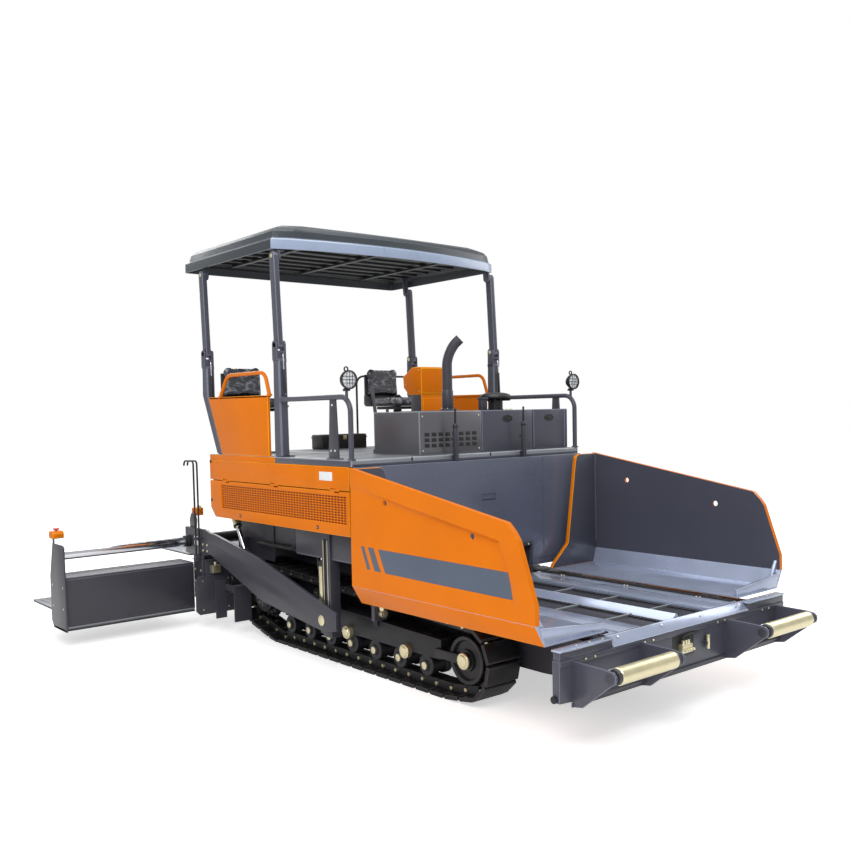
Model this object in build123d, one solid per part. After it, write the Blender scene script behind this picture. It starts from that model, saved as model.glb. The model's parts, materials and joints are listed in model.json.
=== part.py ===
from build123d import *
import math
import os

os.makedirs("parts", exist_ok=True)

# Tracked asphalt paver, standing on level ground.  All lengths in millimetres.
# +X points forwards (towards the hopper), +Y to the machine's left, +Z up from the ground.
# Long places along the machine are given from the hopper's rear wall, through fore().

# ---------------------------------------------------------------- driving dimensions
WALL_X = 712.0            # front face of the tractor, behind the hopper
SIDES = (("left", 1), ("right", -1))
RUN = 0.1                 # running clearance on a radius
SEAT_GAP = 0.3            # between pieces laid against each other

# tractor body
BODY_HALF = 1300.0        # outer face of the side panels
BODY_REAR = -2380.0
PANEL_T = 38.0            # side panel with its folded edge
DECK_Z = 1772.0
DECK_T = 56.0
DOOR_TOP_Z = 1530.0
DOOR_BOTTOM_Z = 1172.0
DOOR_T = 20.0
DOOR_SEAM = 10.0                     # between a door's top edge and the strip above it
DOOR_HINGES = (-2120.0, -1240.0, -300.0)
DOOR_AXIS_Z = 1527.0
DOOR_KNUCKLE = 60.0
DOOR_KNUCKLE_R = 9.0
DOOR_PIN_R = 4.0
SIDE_ROOM = 290.0         # from the side panels' face in to the engine bay
SHELL_HALF = BODY_HALF - SIDE_ROOM
SHELL_T = 14.0
SHELL_BOTTOM_Z = 900.0

# main frame and conveyor tunnel
FRAME_HALF = 620.0
FRAME_T = 30.0
FRAME_BOTTOM_Z = 250.0
TUNNEL_FLOOR_Z = 590.0
TUNNEL_TOP_Z = 900.0
FRAME_REAR = -2385.0
FLOOR_T = 20.0
LASHING = (1900.0, 440.0)            # bores through both side plates for tying the machine down
LASHING_R = 25.0

# tracks
TRACK_IN_Y = 687.0
TRACK_OUT_Y = 1007.0
IDLER = (892.0, 316.0, 290.0)        # place behind or before the wall, height, radius over shoes
SPROCKET = (-2060.0, 410.0, 335.0)
CONTACT_REAR = -1800.0               # where the shoes leave the ground behind
CONTACT_FRONT = 700.0                # and in front
SHOE_COUNT = 46
SHOE_H = 32.0
BELT_T = 105.0                       # shoe and chain together
WHEEL_HALF = 110.0
BEAM_Y = (745.0, 950.0)
AXLE_BEAMS = (-1500.0, -500.0, 300.0)
HUB_R = 62.0

# hopper
WING_REAR = 116.0
WING_FRONT = 2036.0
WING_OUT_Y = 1406.0
WING_TOP_Z = 1721.0
WING_WALL_T = 38.0
HINGE_Y = 776.0
HINGE_Z = 668.0
HINGE_R = 14.0
HINGE_PIN_R = 6.0
WING_FLOOR_T = 14.0
WING_INNER_Y = 766.0
WING_BEND_Y = 1325.0
WING_FOOT_Z = 825.0
WING_SLOPE = 0.168
WING_HOLES = ((523.0, 1477.0), (1451.0, 1320.0))
WING_HOLE_R = 22.0
BUMPER_X = 2055.0
BUMPER_T = 60.0
BUMPER_HALF = 1285.0
BUMPER_TOP_Z = 600.0
BUMPER_BOTTOM_Z = 295.0
ROLLER_X = 2411.0
ROLLER_Z = 537.0
ROLLER_R = 55.0
ROLLER_Y = (518.0, 1139.0)

# canopy
POST_Y = (BODY_HALF - 85, BODY_HALF)         # lower posts
LINK_Y = (BODY_HALF - 60, BODY_HALF - 10)    # folding upper posts
POST_H = 958.0                       # from the deck up to the pivots
FRONT_PIVOT = (-1100.0, DECK_Z + POST_H)
REAR_PIVOT = (-2440.0, DECK_Z + POST_H)
LINK_LEAN = -40.0
LINK_H = 760.0
LINK_W = 80.0
PIN_R = 18.0
RIM_H = 120.0
CROWN_H = 136.0
ROOF_T = 24.0
RIM_BOTTOM_Z = FRONT_PIVOT[1] + LINK_H + 60
RIM_TOP_Z = RIM_BOTTOM_Z + RIM_H
CROWN_Z = RIM_TOP_Z + CROWN_H
ROOF_REAR = -2829.0
ROOF_FRONT = -1139.0
ROOF_BOW = 190.0
ROOF_HALF = BODY_HALF - 7

# screed
TOW_PIVOT = (-560.0, 430.0)
TOW_PIN_R = 30.0
ARM_INSET = 82.0                     # from the side panels' face in to the tow arm
ARM_T = 32.0
ARM_Y = (BODY_HALF - ARM_INSET, BODY_HALF - ARM_INSET + ARM_T)
GUIDE_Y = (ARM_Y[0] - 118, ARM_Y[0] - 18)    # guide of the tow pin
MAIN_X = (-2920.0, -2720.0)
MAIN_HALF = ARM_Y[0]
SCREED_BOTTOM_Z = 150.0
SOLE_T = 12.0
SCREED_H = 507.0
SCREED_TOP_Z = SCREED_BOTTOM_Z + SCREED_H
EXT_X = (-3250.0, -2932.0)
EXT_INNER_Y = MAIN_HALF + 24
EXT_W = 1289.0
EXT_OUTER_Y = EXT_INNER_Y + EXT_W
END_PLATE_T = 14.0
PLATE_BOLTS = ((-3240.0, 360.0), (-2960.0, 360.0), (-3240.0, 560.0), (-2960.0, 560.0))
BOLT_R = 9.0
TUBE_X = -3000.0
TUBE_Z = 869.0
TUBE_R = 50.0
SLEEVE_T = 9.0
SLEEVE_END_Y = ARM_Y[1] + 60
REAR_END = -3890.0
AUGER_X = -2548.0
AUGER_Z = 400.0
AUGER_R = 132.0
AUGER_END_Y = MAIN_HALF - 98
AUGER_BLADES = 6
STEP_X = -2700.0
STEP_HALF = ARM_Y[1] + 86
STEP_TOP_Z = 540.0

# operator's deck
SEATS = ((-1900.0, 620.0), (-1990.0, 300.0 - BODY_HALF))
SEAT_Z = DECK_Z + 428                # underside of the cushions

# hood across the front of the deck
HOOD_X = (-700.0, -66.0)
HOOD_H = 366.0
HOOD_TOP_Z = DECK_Z + HOOD_H
HOOD_T = 14.0
LID_Y = (BODY_HALF - 530, BODY_HALF - 120)
LID_HINGES = (LID_Y[0] + 30, LID_Y[0] + 270)
LID_HINGE_R = 9.0

# rails, and the work lamps on them
RAIL_Z = DECK_Z + 490
LAMP_R = 74.0
LAMP_Z = RAIL_Z + LAMP_R + 56

# cylinders
LIFT_TOP = (-2340.0, DECK_Z - DECK_T - 216)
LIFT_EYE = (-1967.0, 850.0)
LIFT_Y = ARM_Y[0] - 43
WING_CYL_BASE = (1090.0, 560.0)      # across and up, in the plane of the wing's rear plate
WING_CYL_EYE = (1180.0, 1180.0)
WING_CYL_X = 74.0


# ---------------------------------------------------------------- small builders
def fore(x):
    """Place along the machine, measured forwards from the hopper's rear wall."""
    return WALL_X + x


def block(x, y, z):
    """Box given by its low and high faces on each axis."""
    size = [high - low for low, high in (x, y, z)]
    middle = [(high + low) / 2 for low, high in (x, y, z)]
    return Pos(*middle) * Box(*size)


def plate_xz(points, y):
    """Plate with its outline in X and Z, between two places across the machine."""
    wire = Wire.make_polygon([Vector(px, y[0], pz) for px, pz in points])
    return Solid.extrude(Face(wire), Vector(0, y[1] - y[0], 0))


def plate_yz(points, x):
    """Plate with its outline in Y and Z, between two places along the machine."""
    wire = Wire.make_polygon([Vector(x[0], py, pz) for py, pz in points])
    return Solid.extrude(Face(wire), Vector(x[1] - x[0], 0, 0))


def round_bar(start, end, radius):
    """Straight round bar between two points."""
    a = Vector(*start)
    b = Vector(*end)
    return Solid.make_cylinder(radius, (b - a).length, Plane(origin=a, z_dir=b - a))


def cross_bar(x, z, y, radius):
    """Round bar lying across the machine."""
    return round_bar((x, y[0], z), (x, y[1], z), radius)


def bent_tube(points, radius, bend):
    """Round tube through points, with every corner bent to one radius."""
    path = FilletPolyline(*points, radius=bend)
    start = Plane(origin=path @ 0, z_dir=path % 0)
    return sweep(start * Circle(radius), path=path)


def flat(items):
    """Every shape in nested lists, in one list."""
    shapes = []
    for item in items:
        if isinstance(item, (list, tuple)):
            shapes.extend(flat(item))
        else:
            shapes.append(item)
    return shapes


def join(*shapes):
    """One body from pieces that touch or run into each other."""
    return Part() + flat(shapes)


def mirrored(shape, side):
    """The shape itself for the left side, its mirror image for the right."""
    if side > 0:
        return shape
    return mirror(shape, about=Plane.XZ)


def both(shape):
    """A left piece and its mirror image on the right."""
    return [shape, mirror(shape, about=Plane.XZ)]


def save(name, *shapes):
    """Write one sub-part; its solids stay separate where they do not touch."""
    solids = []
    for shape in flat(shapes):
        solids.extend(shape.solids())
    export_step(Compound(children=solids), f"parts/{name}.step")


def polar(centre, radius, angle):
    """Point on a circle in the XZ plane, angle in degrees from +X towards +Z."""
    return (centre[0] + radius * math.cos(math.radians(angle)),
            centre[1] + radius * math.sin(math.radians(angle)))


# ---------------------------------------------------------------- main frame
def make_chassis():
    """Side plates of the main frame with the axle beams that carry the undercarriage."""
    floor_top = TUNNEL_FLOOR_Z + FLOOR_T
    y = (FRAME_HALF - FRAME_T, FRAME_HALF)
    side = plate_xz([(fore(FRAME_REAR), 320), (fore(FRAME_REAR + 120), FRAME_BOTTOM_Z),
                     (fore(BUMPER_X - 700), FRAME_BOTTOM_Z), (fore(BUMPER_X), BUMPER_BOTTOM_Z),
                     (fore(BUMPER_X), floor_top), (fore(0), floor_top),
                     (fore(0), TUNNEL_TOP_Z + FLOOR_T), (fore(FRAME_REAR), TUNNEL_TOP_Z + FLOOR_T)], y)
    lashing = cross_bar(fore(LASHING[0]), LASHING[1], (y[0] - 1, y[1] + 1), LASHING_R)
    beams = []
    for x in AXLE_BEAMS:
        beams.append(block((fore(x), fore(x + 160)), (FRAME_HALF, BEAM_Y[0]), (285, 400)))
    return both(join(side, beams) - lashing)


def make_frame_plates():
    """Plates between the frame's sides: conveyor floor, tunnel roof, belly and front wall."""
    inner = (-FRAME_HALF + FRAME_T, FRAME_HALF - FRAME_T)
    floor = block((fore(FRAME_REAR), fore(BUMPER_X)), inner, (TUNNEL_FLOOR_Z, TUNNEL_FLOOR_Z + FLOOR_T))
    roof = block((fore(FRAME_REAR), fore(0)), inner, (TUNNEL_TOP_Z, TUNNEL_TOP_Z + FLOOR_T))
    belly = block((fore(FRAME_REAR + 120), fore(0)), inner,
                  (FRAME_BOTTOM_Z, FRAME_BOTTOM_Z + FLOOR_T))
    front = block((fore(BUMPER_X - 400), fore(BUMPER_X - 400) + FLOOR_T), inner,
                  (300, TUNNEL_FLOOR_Z - SEAT_GAP))
    return [floor, roof, belly, front]


def make_engine_bay():
    """Walls and floor round the engine below the deck."""
    x = (fore(BODY_REAR + 60), fore(0))
    z = (SHELL_BOTTOM_Z, DECK_Z - DECK_T)
    ends = []
    for end_x in ((x[0], x[0] + SHELL_T), (x[1] - SHELL_T, x[1])):
        ends.append(block(end_x, (-SHELL_HALF, SHELL_HALF), (TUNNEL_TOP_Z + FLOOR_T, z[1])))
    sides = both(block((x[0] + SHELL_T, x[1] - SHELL_T), (SHELL_HALF - SHELL_T, SHELL_HALF), z))
    floor_y = (FRAME_HALF, SHELL_HALF - SHELL_T)
    floor = both(block((x[0] + SHELL_T, x[1] - SHELL_T), floor_y, (z[0], z[0] + SHELL_T)))
    return join(ends, sides, floor)


def make_outriggers():
    """Brackets that carry the side panels on the engine bay's walls."""
    ribs = []
    for x in (-2240, -1560, -800, -60):
        ribs += both(block((fore(x), fore(x + 16)), (SHELL_HALF, BODY_HALF - PANEL_T),
                           (DOOR_TOP_Z + 6, DECK_Z - DECK_T)))
    return ribs


def make_engine():
    """The engine as one plain block on the tunnel roof."""
    return block((fore(-1500), fore(-300)), (-420, 420), (TUNNEL_TOP_Z + FLOOR_T, 1640))


def make_rear_wall():
    """Hopper's rear wall with its tunnel mouth and a leg outside each track."""
    x = (fore(0), fore(40))
    bottom = 730
    mouth = TUNNEL_TOP_Z + FLOOR_T
    leg = (1026, 1150)
    top_panel = block(x, (-BODY_HALF + 10, BODY_HALF - 10), (mouth, DECK_Z - DECK_T))
    cheeks = both(block(x, (FRAME_HALF, BODY_HALF - 10), (bottom, mouth)))
    pin_y, pin_z = WING_CYL_BASE
    pin = round_bar((x[1], pin_y, pin_z), (fore(WING_CYL_X + 24), pin_y, pin_z), PIN_R - 3)
    legs = both(block(x, leg, (500, bottom)))
    return join(top_panel, cheeks, legs, both(pin))


def make_deck():
    """Operator's deck with a folded front edge."""
    return block((fore(BODY_REAR), fore(0)), (-BODY_HALF, BODY_HALF), (DECK_Z - DECK_T, DECK_Z))


def door_hinge(first, gap):
    """Hinge parts of one side door: knuckles, or the room they need when gap is more than nothing."""
    pieces = []
    for x in DOOR_HINGES:
        start = fore(x) + first - gap
        end = fore(x) + first + DOOR_KNUCKLE + gap
        pieces.append(round_bar((start, BODY_HALF - 4, DOOR_AXIS_Z), (end, BODY_HALF - 4, DOOR_AXIS_Z),
                                DOOR_KNUCKLE_R + gap))
    return pieces


def make_side_panels():
    """Fixed orange strip under the deck on each side, with the pins of the doors' hinges."""
    strip = block((fore(BODY_REAR), fore(-40)), (BODY_HALF - PANEL_T, BODY_HALF),
                  (DOOR_TOP_Z, DECK_Z - DECK_T))
    pins = []
    for x in DOOR_HINGES:
        pins.append(round_bar((fore(x) + 1, BODY_HALF - 4, DOOR_AXIS_Z),
                              (fore(x) + 2 * DOOR_KNUCKLE + 2, BODY_HALF - 4, DOOR_AXIS_Z), DOOR_PIN_R))
    return both(join(strip - door_hinge(0, 2), door_hinge(DOOR_KNUCKLE + 2, 0), pins))


def make_side_door(side):
    """Top-hinged side door with its grille of slots."""
    x0 = fore(BODY_REAR)
    x1 = fore(-40)
    top = DOOR_TOP_Z - DOOR_SEAM
    corner = 90
    outline = [(x0, top), (x0, DOOR_BOTTOM_Z + corner), (x0 + corner, DOOR_BOTTOM_Z),
               (x1, DOOR_BOTTOM_Z), (x1, top)]
    y = (BODY_HALF - DOOR_T, BODY_HALF)
    door = plate_xz(outline, y)
    columns = 24
    rows = 6
    grille_x = (fore(-2155), fore(-87))
    grille_z = (1262, 1487)
    step_x = (grille_x[1] - grille_x[0]) / columns
    step_z = (grille_z[1] - grille_z[0]) / rows
    slots = []
    for i in range(columns):
        for j in range(rows):
            cx = grille_x[0] + (i + 0.5) * step_x
            cz = grille_z[0] + (j + 0.5) * step_z
            slots.append(block((cx - 0.33 * step_x, cx + 0.33 * step_x), (y[0] - 1, y[1] + 1),
                               (cz - 0.3 * step_z, cz + 0.3 * step_z)))
    bores = []
    for x in DOOR_HINGES:
        bores.append(round_bar((fore(x) - 1, BODY_HALF - 4, DOOR_AXIS_Z),
                               (fore(x) + DOOR_KNUCKLE + 1, BODY_HALF - 4, DOOR_AXIS_Z), DOOR_PIN_R + RUN))
    shape = join(door - slots - door_hinge(DOOR_KNUCKLE + 2, 2), door_hinge(0, 0)) - bores
    return mirrored(shape, side)


# ---------------------------------------------------------------- tracks
class TrackPath:
    """Closed path over the shoes: ground, idler, top run, sprocket, rising rear run."""

    def __init__(self):
        ix, iz, ir = fore(IDLER[0]), IDLER[1], IDLER[2]
        sx, sz, sr = fore(SPROCKET[0]), SPROCKET[1], SPROCKET[2]
        away = math.degrees(math.atan2(sz - iz, sx - ix))
        span = math.hypot(sx - ix, sz - iz)
        top = away - math.degrees(math.acos((ir - sr) / span))
        rear_x = fore(CONTACT_REAR)
        front_x = fore(CONTACT_FRONT)
        dip = math.degrees(math.atan2(-iz, front_x - ix))
        rise = dip + math.degrees(math.acos(ir / math.hypot(front_x - ix, iz)))
        back = math.degrees(math.atan2(-sz, rear_x - sx))
        low = back - math.degrees(math.acos(sr / math.hypot(rear_x - sx, sz))) + 360
        self.legs = [
            ("line", (rear_x, 0.0), (front_x, 0.0), -90.0),
            ("line", (front_x, 0.0), polar((ix, iz), ir, rise), rise),
            ("arc", (ix, iz), ir, rise, top),
            ("line", polar((ix, iz), ir, top), polar((sx, sz), sr, top), top),
            ("arc", (sx, sz), sr, top, low),
            ("line", polar((sx, sz), sr, low), (rear_x, 0.0), low),
        ]
        self.lengths = []
        for leg in self.legs:
            if leg[0] == "line":
                self.lengths.append(math.dist(leg[1], leg[2]))
            else:
                self.lengths.append(leg[2] * math.radians(leg[4] - leg[3]))
        self.length = sum(self.lengths)

    def at(self, s, depth):
        """Point at a distance along the path, sunk below the shoes' face by depth."""
        s = s % self.length
        for leg, length in zip(self.legs, self.lengths):
            if s <= length:
                break
            s -= length
        if leg[0] == "line":
            t = s / length
            x = leg[1][0] + t * (leg[2][0] - leg[1][0])
            z = leg[1][1] + t * (leg[2][1] - leg[1][1])
            return polar((x, z), -depth, leg[3])
        angle = leg[3] + math.degrees(s / leg[2])
        return polar(leg[1], leg[2] - depth, angle)


def make_track(side):
    """Track loop: every shoe stands out of the chain, the inside runs on the wheels."""
    path = TrackPath()
    pitch = path.length / SHOE_COUNT
    outer = []
    for i in range(SHOE_COUNT):
        start = (i + 0.5) * pitch
        outer.append(path.at(start + 0.06 * pitch, SHOE_H))
        outer.append(path.at(start + 0.10 * pitch, 0))
        outer.append(path.at(start + 0.90 * pitch, 0))
        outer.append(path.at(start + 0.94 * pitch, SHOE_H))
    inner = []
    for leg, length in zip(path.legs, path.lengths):
        steps = 1 if leg[0] == "line" else 12
        before = sum(path.lengths[:path.legs.index(leg)])
        for k in range(steps):
            inner.append(path.at(before + (k + 0.001) * length / steps, BELT_T))
    loop = plate_xz(outer, (TRACK_IN_Y, TRACK_OUT_Y)) - plate_xz(inner, (TRACK_IN_Y - 1, TRACK_OUT_Y + 1))
    return mirrored(loop, side)


def make_undercarriage(side):
    """Track frame with its idler, sprocket, rollers and hub caps, carried by the axle beams."""
    middle = (TRACK_IN_Y + TRACK_OUT_Y) / 2
    y = (middle - WHEEL_HALF, middle + WHEEL_HALF)
    ix, iz, ir = fore(IDLER[0]), IDLER[1], IDLER[2] - BELT_T - 4
    sx, sz, sr = fore(SPROCKET[0]), SPROCKET[1], SPROCKET[2] - BELT_T - 4
    beam = plate_xz([(fore(-1650), 262), (fore(600), 262), (fore(600), 420), (fore(-1700), 480)],
                    BEAM_Y)
    idler = cross_bar(ix, iz, y, ir)
    sprocket = cross_bar(sx, sz, y, sr)
    motor = cross_bar(sx, sz, (FRAME_HALF, y[1] + 20), 130)
    fork = block((fore(560), ix + 60), (BEAM_Y[1] - 6, y[1] + 20), (285, 352))
    fork_in = block((fore(560), ix + 60), (y[0] - 20, BEAM_Y[0] + 6), (285, 352))
    axle = cross_bar(ix, iz, (y[0] - 20, y[1] + 20), 40)
    rear_arm = plate_xz([(fore(-1660), 280), (sx, sz - 60), (sx, sz + 60), (fore(-1700), 470)],
                        (BEAM_Y[1] - 6, y[1] + 20))
    rollers = []
    roller_r = 84
    for i in range(7):
        x = fore(-1560) + i * 330
        rollers.append(cross_bar(x, BELT_T + roller_r + 0.02, y, roller_r))
    carriers = []
    for x in (-1100, -200):
        top_run = iz + ir + (fore(x) - ix) * (sz + sr - iz - ir) / (sx - ix)
        carriers.append(cross_bar(fore(x), top_run - 62, y, 58))
        carriers.append(block((fore(x) - 25, fore(x) + 25), (y[1] - 60, y[1] + 15), (400, top_run - 40)))
    hubs = []
    for x, z, start, radius in ((IDLER[0], IDLER[1], y[1] + 19, HUB_R), (195, 262, BEAM_Y[1], HUB_R - 6),
                                (-600, 280, BEAM_Y[1], HUB_R - 6)):
        hubs.append(cross_bar(fore(x), z, (start, TRACK_OUT_Y - 4), radius))
    return mirrored(join(beam, idler, sprocket, motor, fork, fork_in, axle, rear_arm, rollers, carriers, hubs),
                    side)


# ---------------------------------------------------------------- hopper
def make_hopper_floor():
    """Centre floor of the hopper: side plates, conveyor slats, chain guard and wing hinges."""
    rear = fore(44)
    front = fore(WING_FRONT)
    top = HINGE_Z
    base = TUNNEL_FLOOR_Z + FLOOR_T
    inner_plates = both(block((rear, front), (400, FRAME_HALF), (base, top)))
    edge_y = (FRAME_HALF, HINGE_Y - HINGE_R - 5)
    outer_plate = block((rear, front), edge_y, (top - 12, top))
    ridge = plate_yz([(-60, base), (60, base), (30, top + 22), (-30, top + 22)], (rear, front))
    slats = []
    count = 8
    for i in range(count):
        x = rear + (i + 0.5) * (front - rear) / count
        slats += both(block((x - 18, x + 18), (62, 400), (base, top - 8)))
    carriers = []
    for x in (300, 1000, 1700):
        span = (fore(x), fore(x + 90))
        knuckle = round_bar((span[0], HINGE_Y, HINGE_Z), (span[1], HINGE_Y, HINGE_Z), HINGE_R)
        web = block(span, (edge_y[1], HINGE_Y), (top - 12, top))
        pin = round_bar((span[1] - 1, HINGE_Y, HINGE_Z), (span[1] + 96, HINGE_Y, HINGE_Z), HINGE_PIN_R)
        carriers += both(join(knuckle, web, pin))
    return join(inner_plates, both(outer_plate), ridge, slats, carriers)


def wing_section():
    """Height of the wing's floor and the end of that floor, where the chamfer starts."""
    floor_z = HINGE_Z + HINGE_R + 3
    return floor_z, (WING_BEND_Y, floor_z + WING_FLOOR_T)


def wing_top(x):
    """Height of the wing's upper edge, which falls towards the front."""
    return WING_TOP_Z - WING_SLOPE * (x - WING_REAR)


def make_wing(side):
    """Folding hopper wing: outer wall, chamfer and floor of plate, with its hinge knuckles."""
    rear = fore(WING_REAR)
    front = fore(WING_FRONT)
    inner = WING_OUT_Y - WING_WALL_T
    nose_top = wing_top(1880)
    floor_z, bend = wing_section()
    wall = plate_xz([(rear, WING_FOOT_Z), (rear, WING_TOP_Z), (fore(1740), wing_top(1740)),
                     (fore(1820), nose_top - 10), (fore(1895), nose_top - 90),
                     (front, 942), (front, WING_FOOT_Z)], (inner, WING_OUT_Y))
    for x, z in WING_HOLES:
        wall = wall - cross_bar(fore(x), z, (inner - 1, WING_OUT_Y + 1), WING_HOLE_R)
    sheet = plate_yz([(WING_INNER_Y, floor_z), (bend[0], floor_z), (WING_OUT_Y, WING_FOOT_Z),
                      (inner, WING_FOOT_Z), bend, (WING_INNER_Y, bend[1])], (rear, front))
    knuckles = []
    for x in (395, 1095, 1795):
        span = (fore(x), fore(x + 90))
        knuckle = join(round_bar((span[0], HINGE_Y, HINGE_Z), (span[1], HINGE_Y, HINGE_Z), HINGE_R),
                       block(span, (HINGE_Y - 9, HINGE_Y + 13), (HINGE_Z, floor_z + 1)))
        knuckles.append(knuckle - round_bar((span[0] - 1, HINGE_Y, HINGE_Z), (span[1] + 1, HINGE_Y, HINGE_Z),
                                            HINGE_PIN_R + RUN))
    return mirrored(join(wall, sheet, knuckles), side)


def make_wing_ends(side):
    """Rear and front plates of a hopper wing, with the boss for its cylinder's eye."""
    rear = fore(WING_REAR)
    front = fore(WING_FRONT)
    inner = WING_OUT_Y - WING_WALL_T
    bend = wing_section()[1]
    top = WING_TOP_Z - 6
    rear_plate = plate_yz([(WING_INNER_Y, bend[1]), (WING_INNER_Y + 14, bend[1] + 30), (980, 910), (1100, top),
                           (inner, top), (inner, WING_FOOT_Z), bend], (rear, rear + WING_WALL_T))
    boss_y, boss_z = WING_CYL_EYE
    boss = round_bar((rear - 8, boss_y, boss_z), (rear, boss_y, boss_z), 30)
    front_top = 806
    lean = (inner - bend[0]) / (WING_FOOT_Z - bend[1])
    front_plate = plate_yz([(WING_INNER_Y, bend[1]), (WING_INNER_Y, 750),
                            (bend[0] + lean * (front_top - bend[1]), front_top), bend], (front - 26, front))
    return [mirrored(join(rear_plate, boss), side), mirrored(front_plate, side)]


def make_bumper():
    """Front cross beam with its sloping lip and the brackets that hold the push rollers."""
    x0 = fore(BUMPER_X)
    x1 = x0 + BUMPER_T
    beam = block((x0, x1), (-BUMPER_HALF, BUMPER_HALF), (BUMPER_BOTTOM_Z, BUMPER_TOP_Z))
    rx = fore(ROLLER_X)
    arm = [(x1, 300), (fore(2194), 313), (fore(2419), 491), (rx + 44, 520), (rx + 44, 556), (rx + 20, 578),
           (rx - 40, 585), (x1, 590)]
    brackets = []
    for y in ((ROLLER_Y[0] - 34, ROLLER_Y[0] - 14), (ROLLER_Y[1] + 14, ROLLER_Y[1] + 34)):
        plate = plate_xz(arm, y) - cross_bar(rx, ROLLER_Z, (y[0] - 1, y[1] + 1), PIN_R + RUN)
        brackets += both(plate)
    lip = plate_xz([(x0, BUMPER_TOP_Z), (x0, 668), (x0 + 12, 668), (x1 + 10, 608), (x1, BUMPER_TOP_Z)],
                   (-BUMPER_HALF, BUMPER_HALF))
    return join(beam, lip, brackets)


def make_push_roller(side):
    """Free roller that the truck's wheels push against, with its pin."""
    rx = fore(ROLLER_X)
    barrel = cross_bar(rx, ROLLER_Z, ROLLER_Y, ROLLER_R)
    pin = cross_bar(rx, ROLLER_Z, (ROLLER_Y[0] - 44, ROLLER_Y[1] + 44), PIN_R)
    return mirrored(join(barrel, pin), side)


# ---------------------------------------------------------------- folding canopy
def make_lower_posts():
    """Four fixed posts; each ends in a fork for its folding upper post."""
    posts = []
    fx, fz = fore(FRONT_PIVOT[0]), FRONT_PIVOT[1]
    rx, rz = fore(REAR_PIVOT[0]), REAR_PIVOT[1]
    top = DECK_Z
    front = plate_xz([(fx - 144, top), (fx + 90, top), (fx + 20, top + 260), (fx + 50, top + 300),
                      (fx + 50, fz - 120), (fx - 50, fz - 120), (fx - 60, top + 260)], POST_Y)
    rear = plate_xz([(fore(-2234), top), (fore(-2120), top), (rx + 50, top + 560), (rx + 50, rz - 120),
                     (rx - 50, rz - 120), (rx - 60, top + 560)], POST_Y)
    for x, z, shape in ((fx, fz, front), (rx, rz, rear)):
        ears = []
        for y in ((POST_Y[0], LINK_Y[0] - 5), (LINK_Y[1] + 5, POST_Y[1] + 10)):
            ears.append(block((x - 38, x + 38), y, (z - 130, z + 40)))
        pin = cross_bar(x, z, (POST_Y[0], POST_Y[1] + 10), PIN_R)
        posts += both(join(shape, ears, pin))
    return posts


def make_links(pivot):
    """Pair of folding upper posts, bored for the pins at both ends."""
    x, z = fore(pivot[0]), pivot[1]
    half = LINK_W / 2
    tip_x, tip_z = x + LINK_LEAN, z + LINK_H
    bar = plate_xz([(x - half, z), (x + half, z), (tip_x + half, tip_z), (tip_x - half, tip_z)], LINK_Y)
    shape = join(bar, cross_bar(x, z, LINK_Y, half), cross_bar(tip_x, tip_z, LINK_Y, half))
    for px, pz in ((x, z), (tip_x, tip_z)):
        shape = shape - cross_bar(px, pz, (LINK_Y[0] - 1, LINK_Y[1] + 1), PIN_R + RUN)
    return both(shape)


def roof_outline(inset, z):
    """Plan of the roof at one height: straight sides, cut front corners and a bowed front."""
    rear = fore(ROOF_REAR) + inset
    side = ROOF_HALF - inset
    shoulder = fore(ROOF_FRONT) - 0.4 * inset
    nose = shoulder + ROOF_BOW - 0.6 * inset
    corner_y = side - 160
    a = Vector(rear, -side, z)
    b = Vector(shoulder, -side, z)
    c = Vector(shoulder + 60, -corner_y, z)
    d = Vector(nose, 0, z)
    e = Vector(shoulder + 60, corner_y, z)
    f = Vector(shoulder, side, z)
    g = Vector(rear, side, z)
    edges = [Edge.make_line(a, b), Edge.make_line(b, c), Edge.make_three_point_arc(c, d, e),
             Edge.make_line(e, f), Edge.make_line(f, g), Edge.make_line(g, a)]
    return Wire(edges)


def make_roof():
    """Hollow roof: upright rim, sloping crown, and hangers for the folding posts."""
    rim = Solid.extrude(Face(roof_outline(0, RIM_BOTTOM_Z)), Vector(0, 0, RIM_TOP_Z - RIM_BOTTOM_Z))
    crown = Solid.make_loft([roof_outline(0, RIM_TOP_Z), roof_outline(300, CROWN_Z)], True)
    wall = ROOF_T
    hollow = Solid.extrude(Face(roof_outline(wall, RIM_BOTTOM_Z - 1)),
                           Vector(0, 0, RIM_TOP_Z - RIM_BOTTOM_Z - wall + 1))
    hollow_top = Solid.make_loft([roof_outline(wall, RIM_TOP_Z - wall - 1),
                                  roof_outline(300, CROWN_Z - wall)], True)
    shell = join(rim, crown) - hollow - hollow_top
    hangers = []
    for pivot in (FRONT_PIVOT, REAR_PIVOT):
        x = fore(pivot[0]) + LINK_LEAN
        z = pivot[1] + LINK_H
        for y in ((LINK_Y[0] - 22, LINK_Y[0] - 6),):
            hangers += both(block((x - 45, x + 45), y, (z - 45, RIM_TOP_Z + ROOF_T - 4)))
        hangers += both(cross_bar(x, z, (LINK_Y[0] - 22, LINK_Y[1] + 2), PIN_R))
    return join(shell, hangers)


# ---------------------------------------------------------------- operator's deck
def make_side_guards():
    """Orange guard panel between the posts on each side, with its rail loop."""
    top = DECK_Z + 533
    panel = plate_xz([(fore(-2112), DECK_Z), (fore(-1160), DECK_Z), (fore(-1160), top), (fore(-2360), top + 5)],
                     (BODY_HALF - 26, BODY_HALF))
    y = BODY_HALF - 13
    loop = bent_tube([(fore(-2150), y, top - 5), (fore(-1990), y, top + 200), (fore(-1300), y, top + 200),
                      (fore(-1230), y, top - 7)], 17, 60)
    post_cut = block((fore(-1244), fore(-1010)), (POST_Y[0] - 1, BODY_HALF + 1),
                     (DECK_Z - 1, FRONT_PIVOT[1] - 30))
    return both(join(panel - post_cut, loop))


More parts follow.
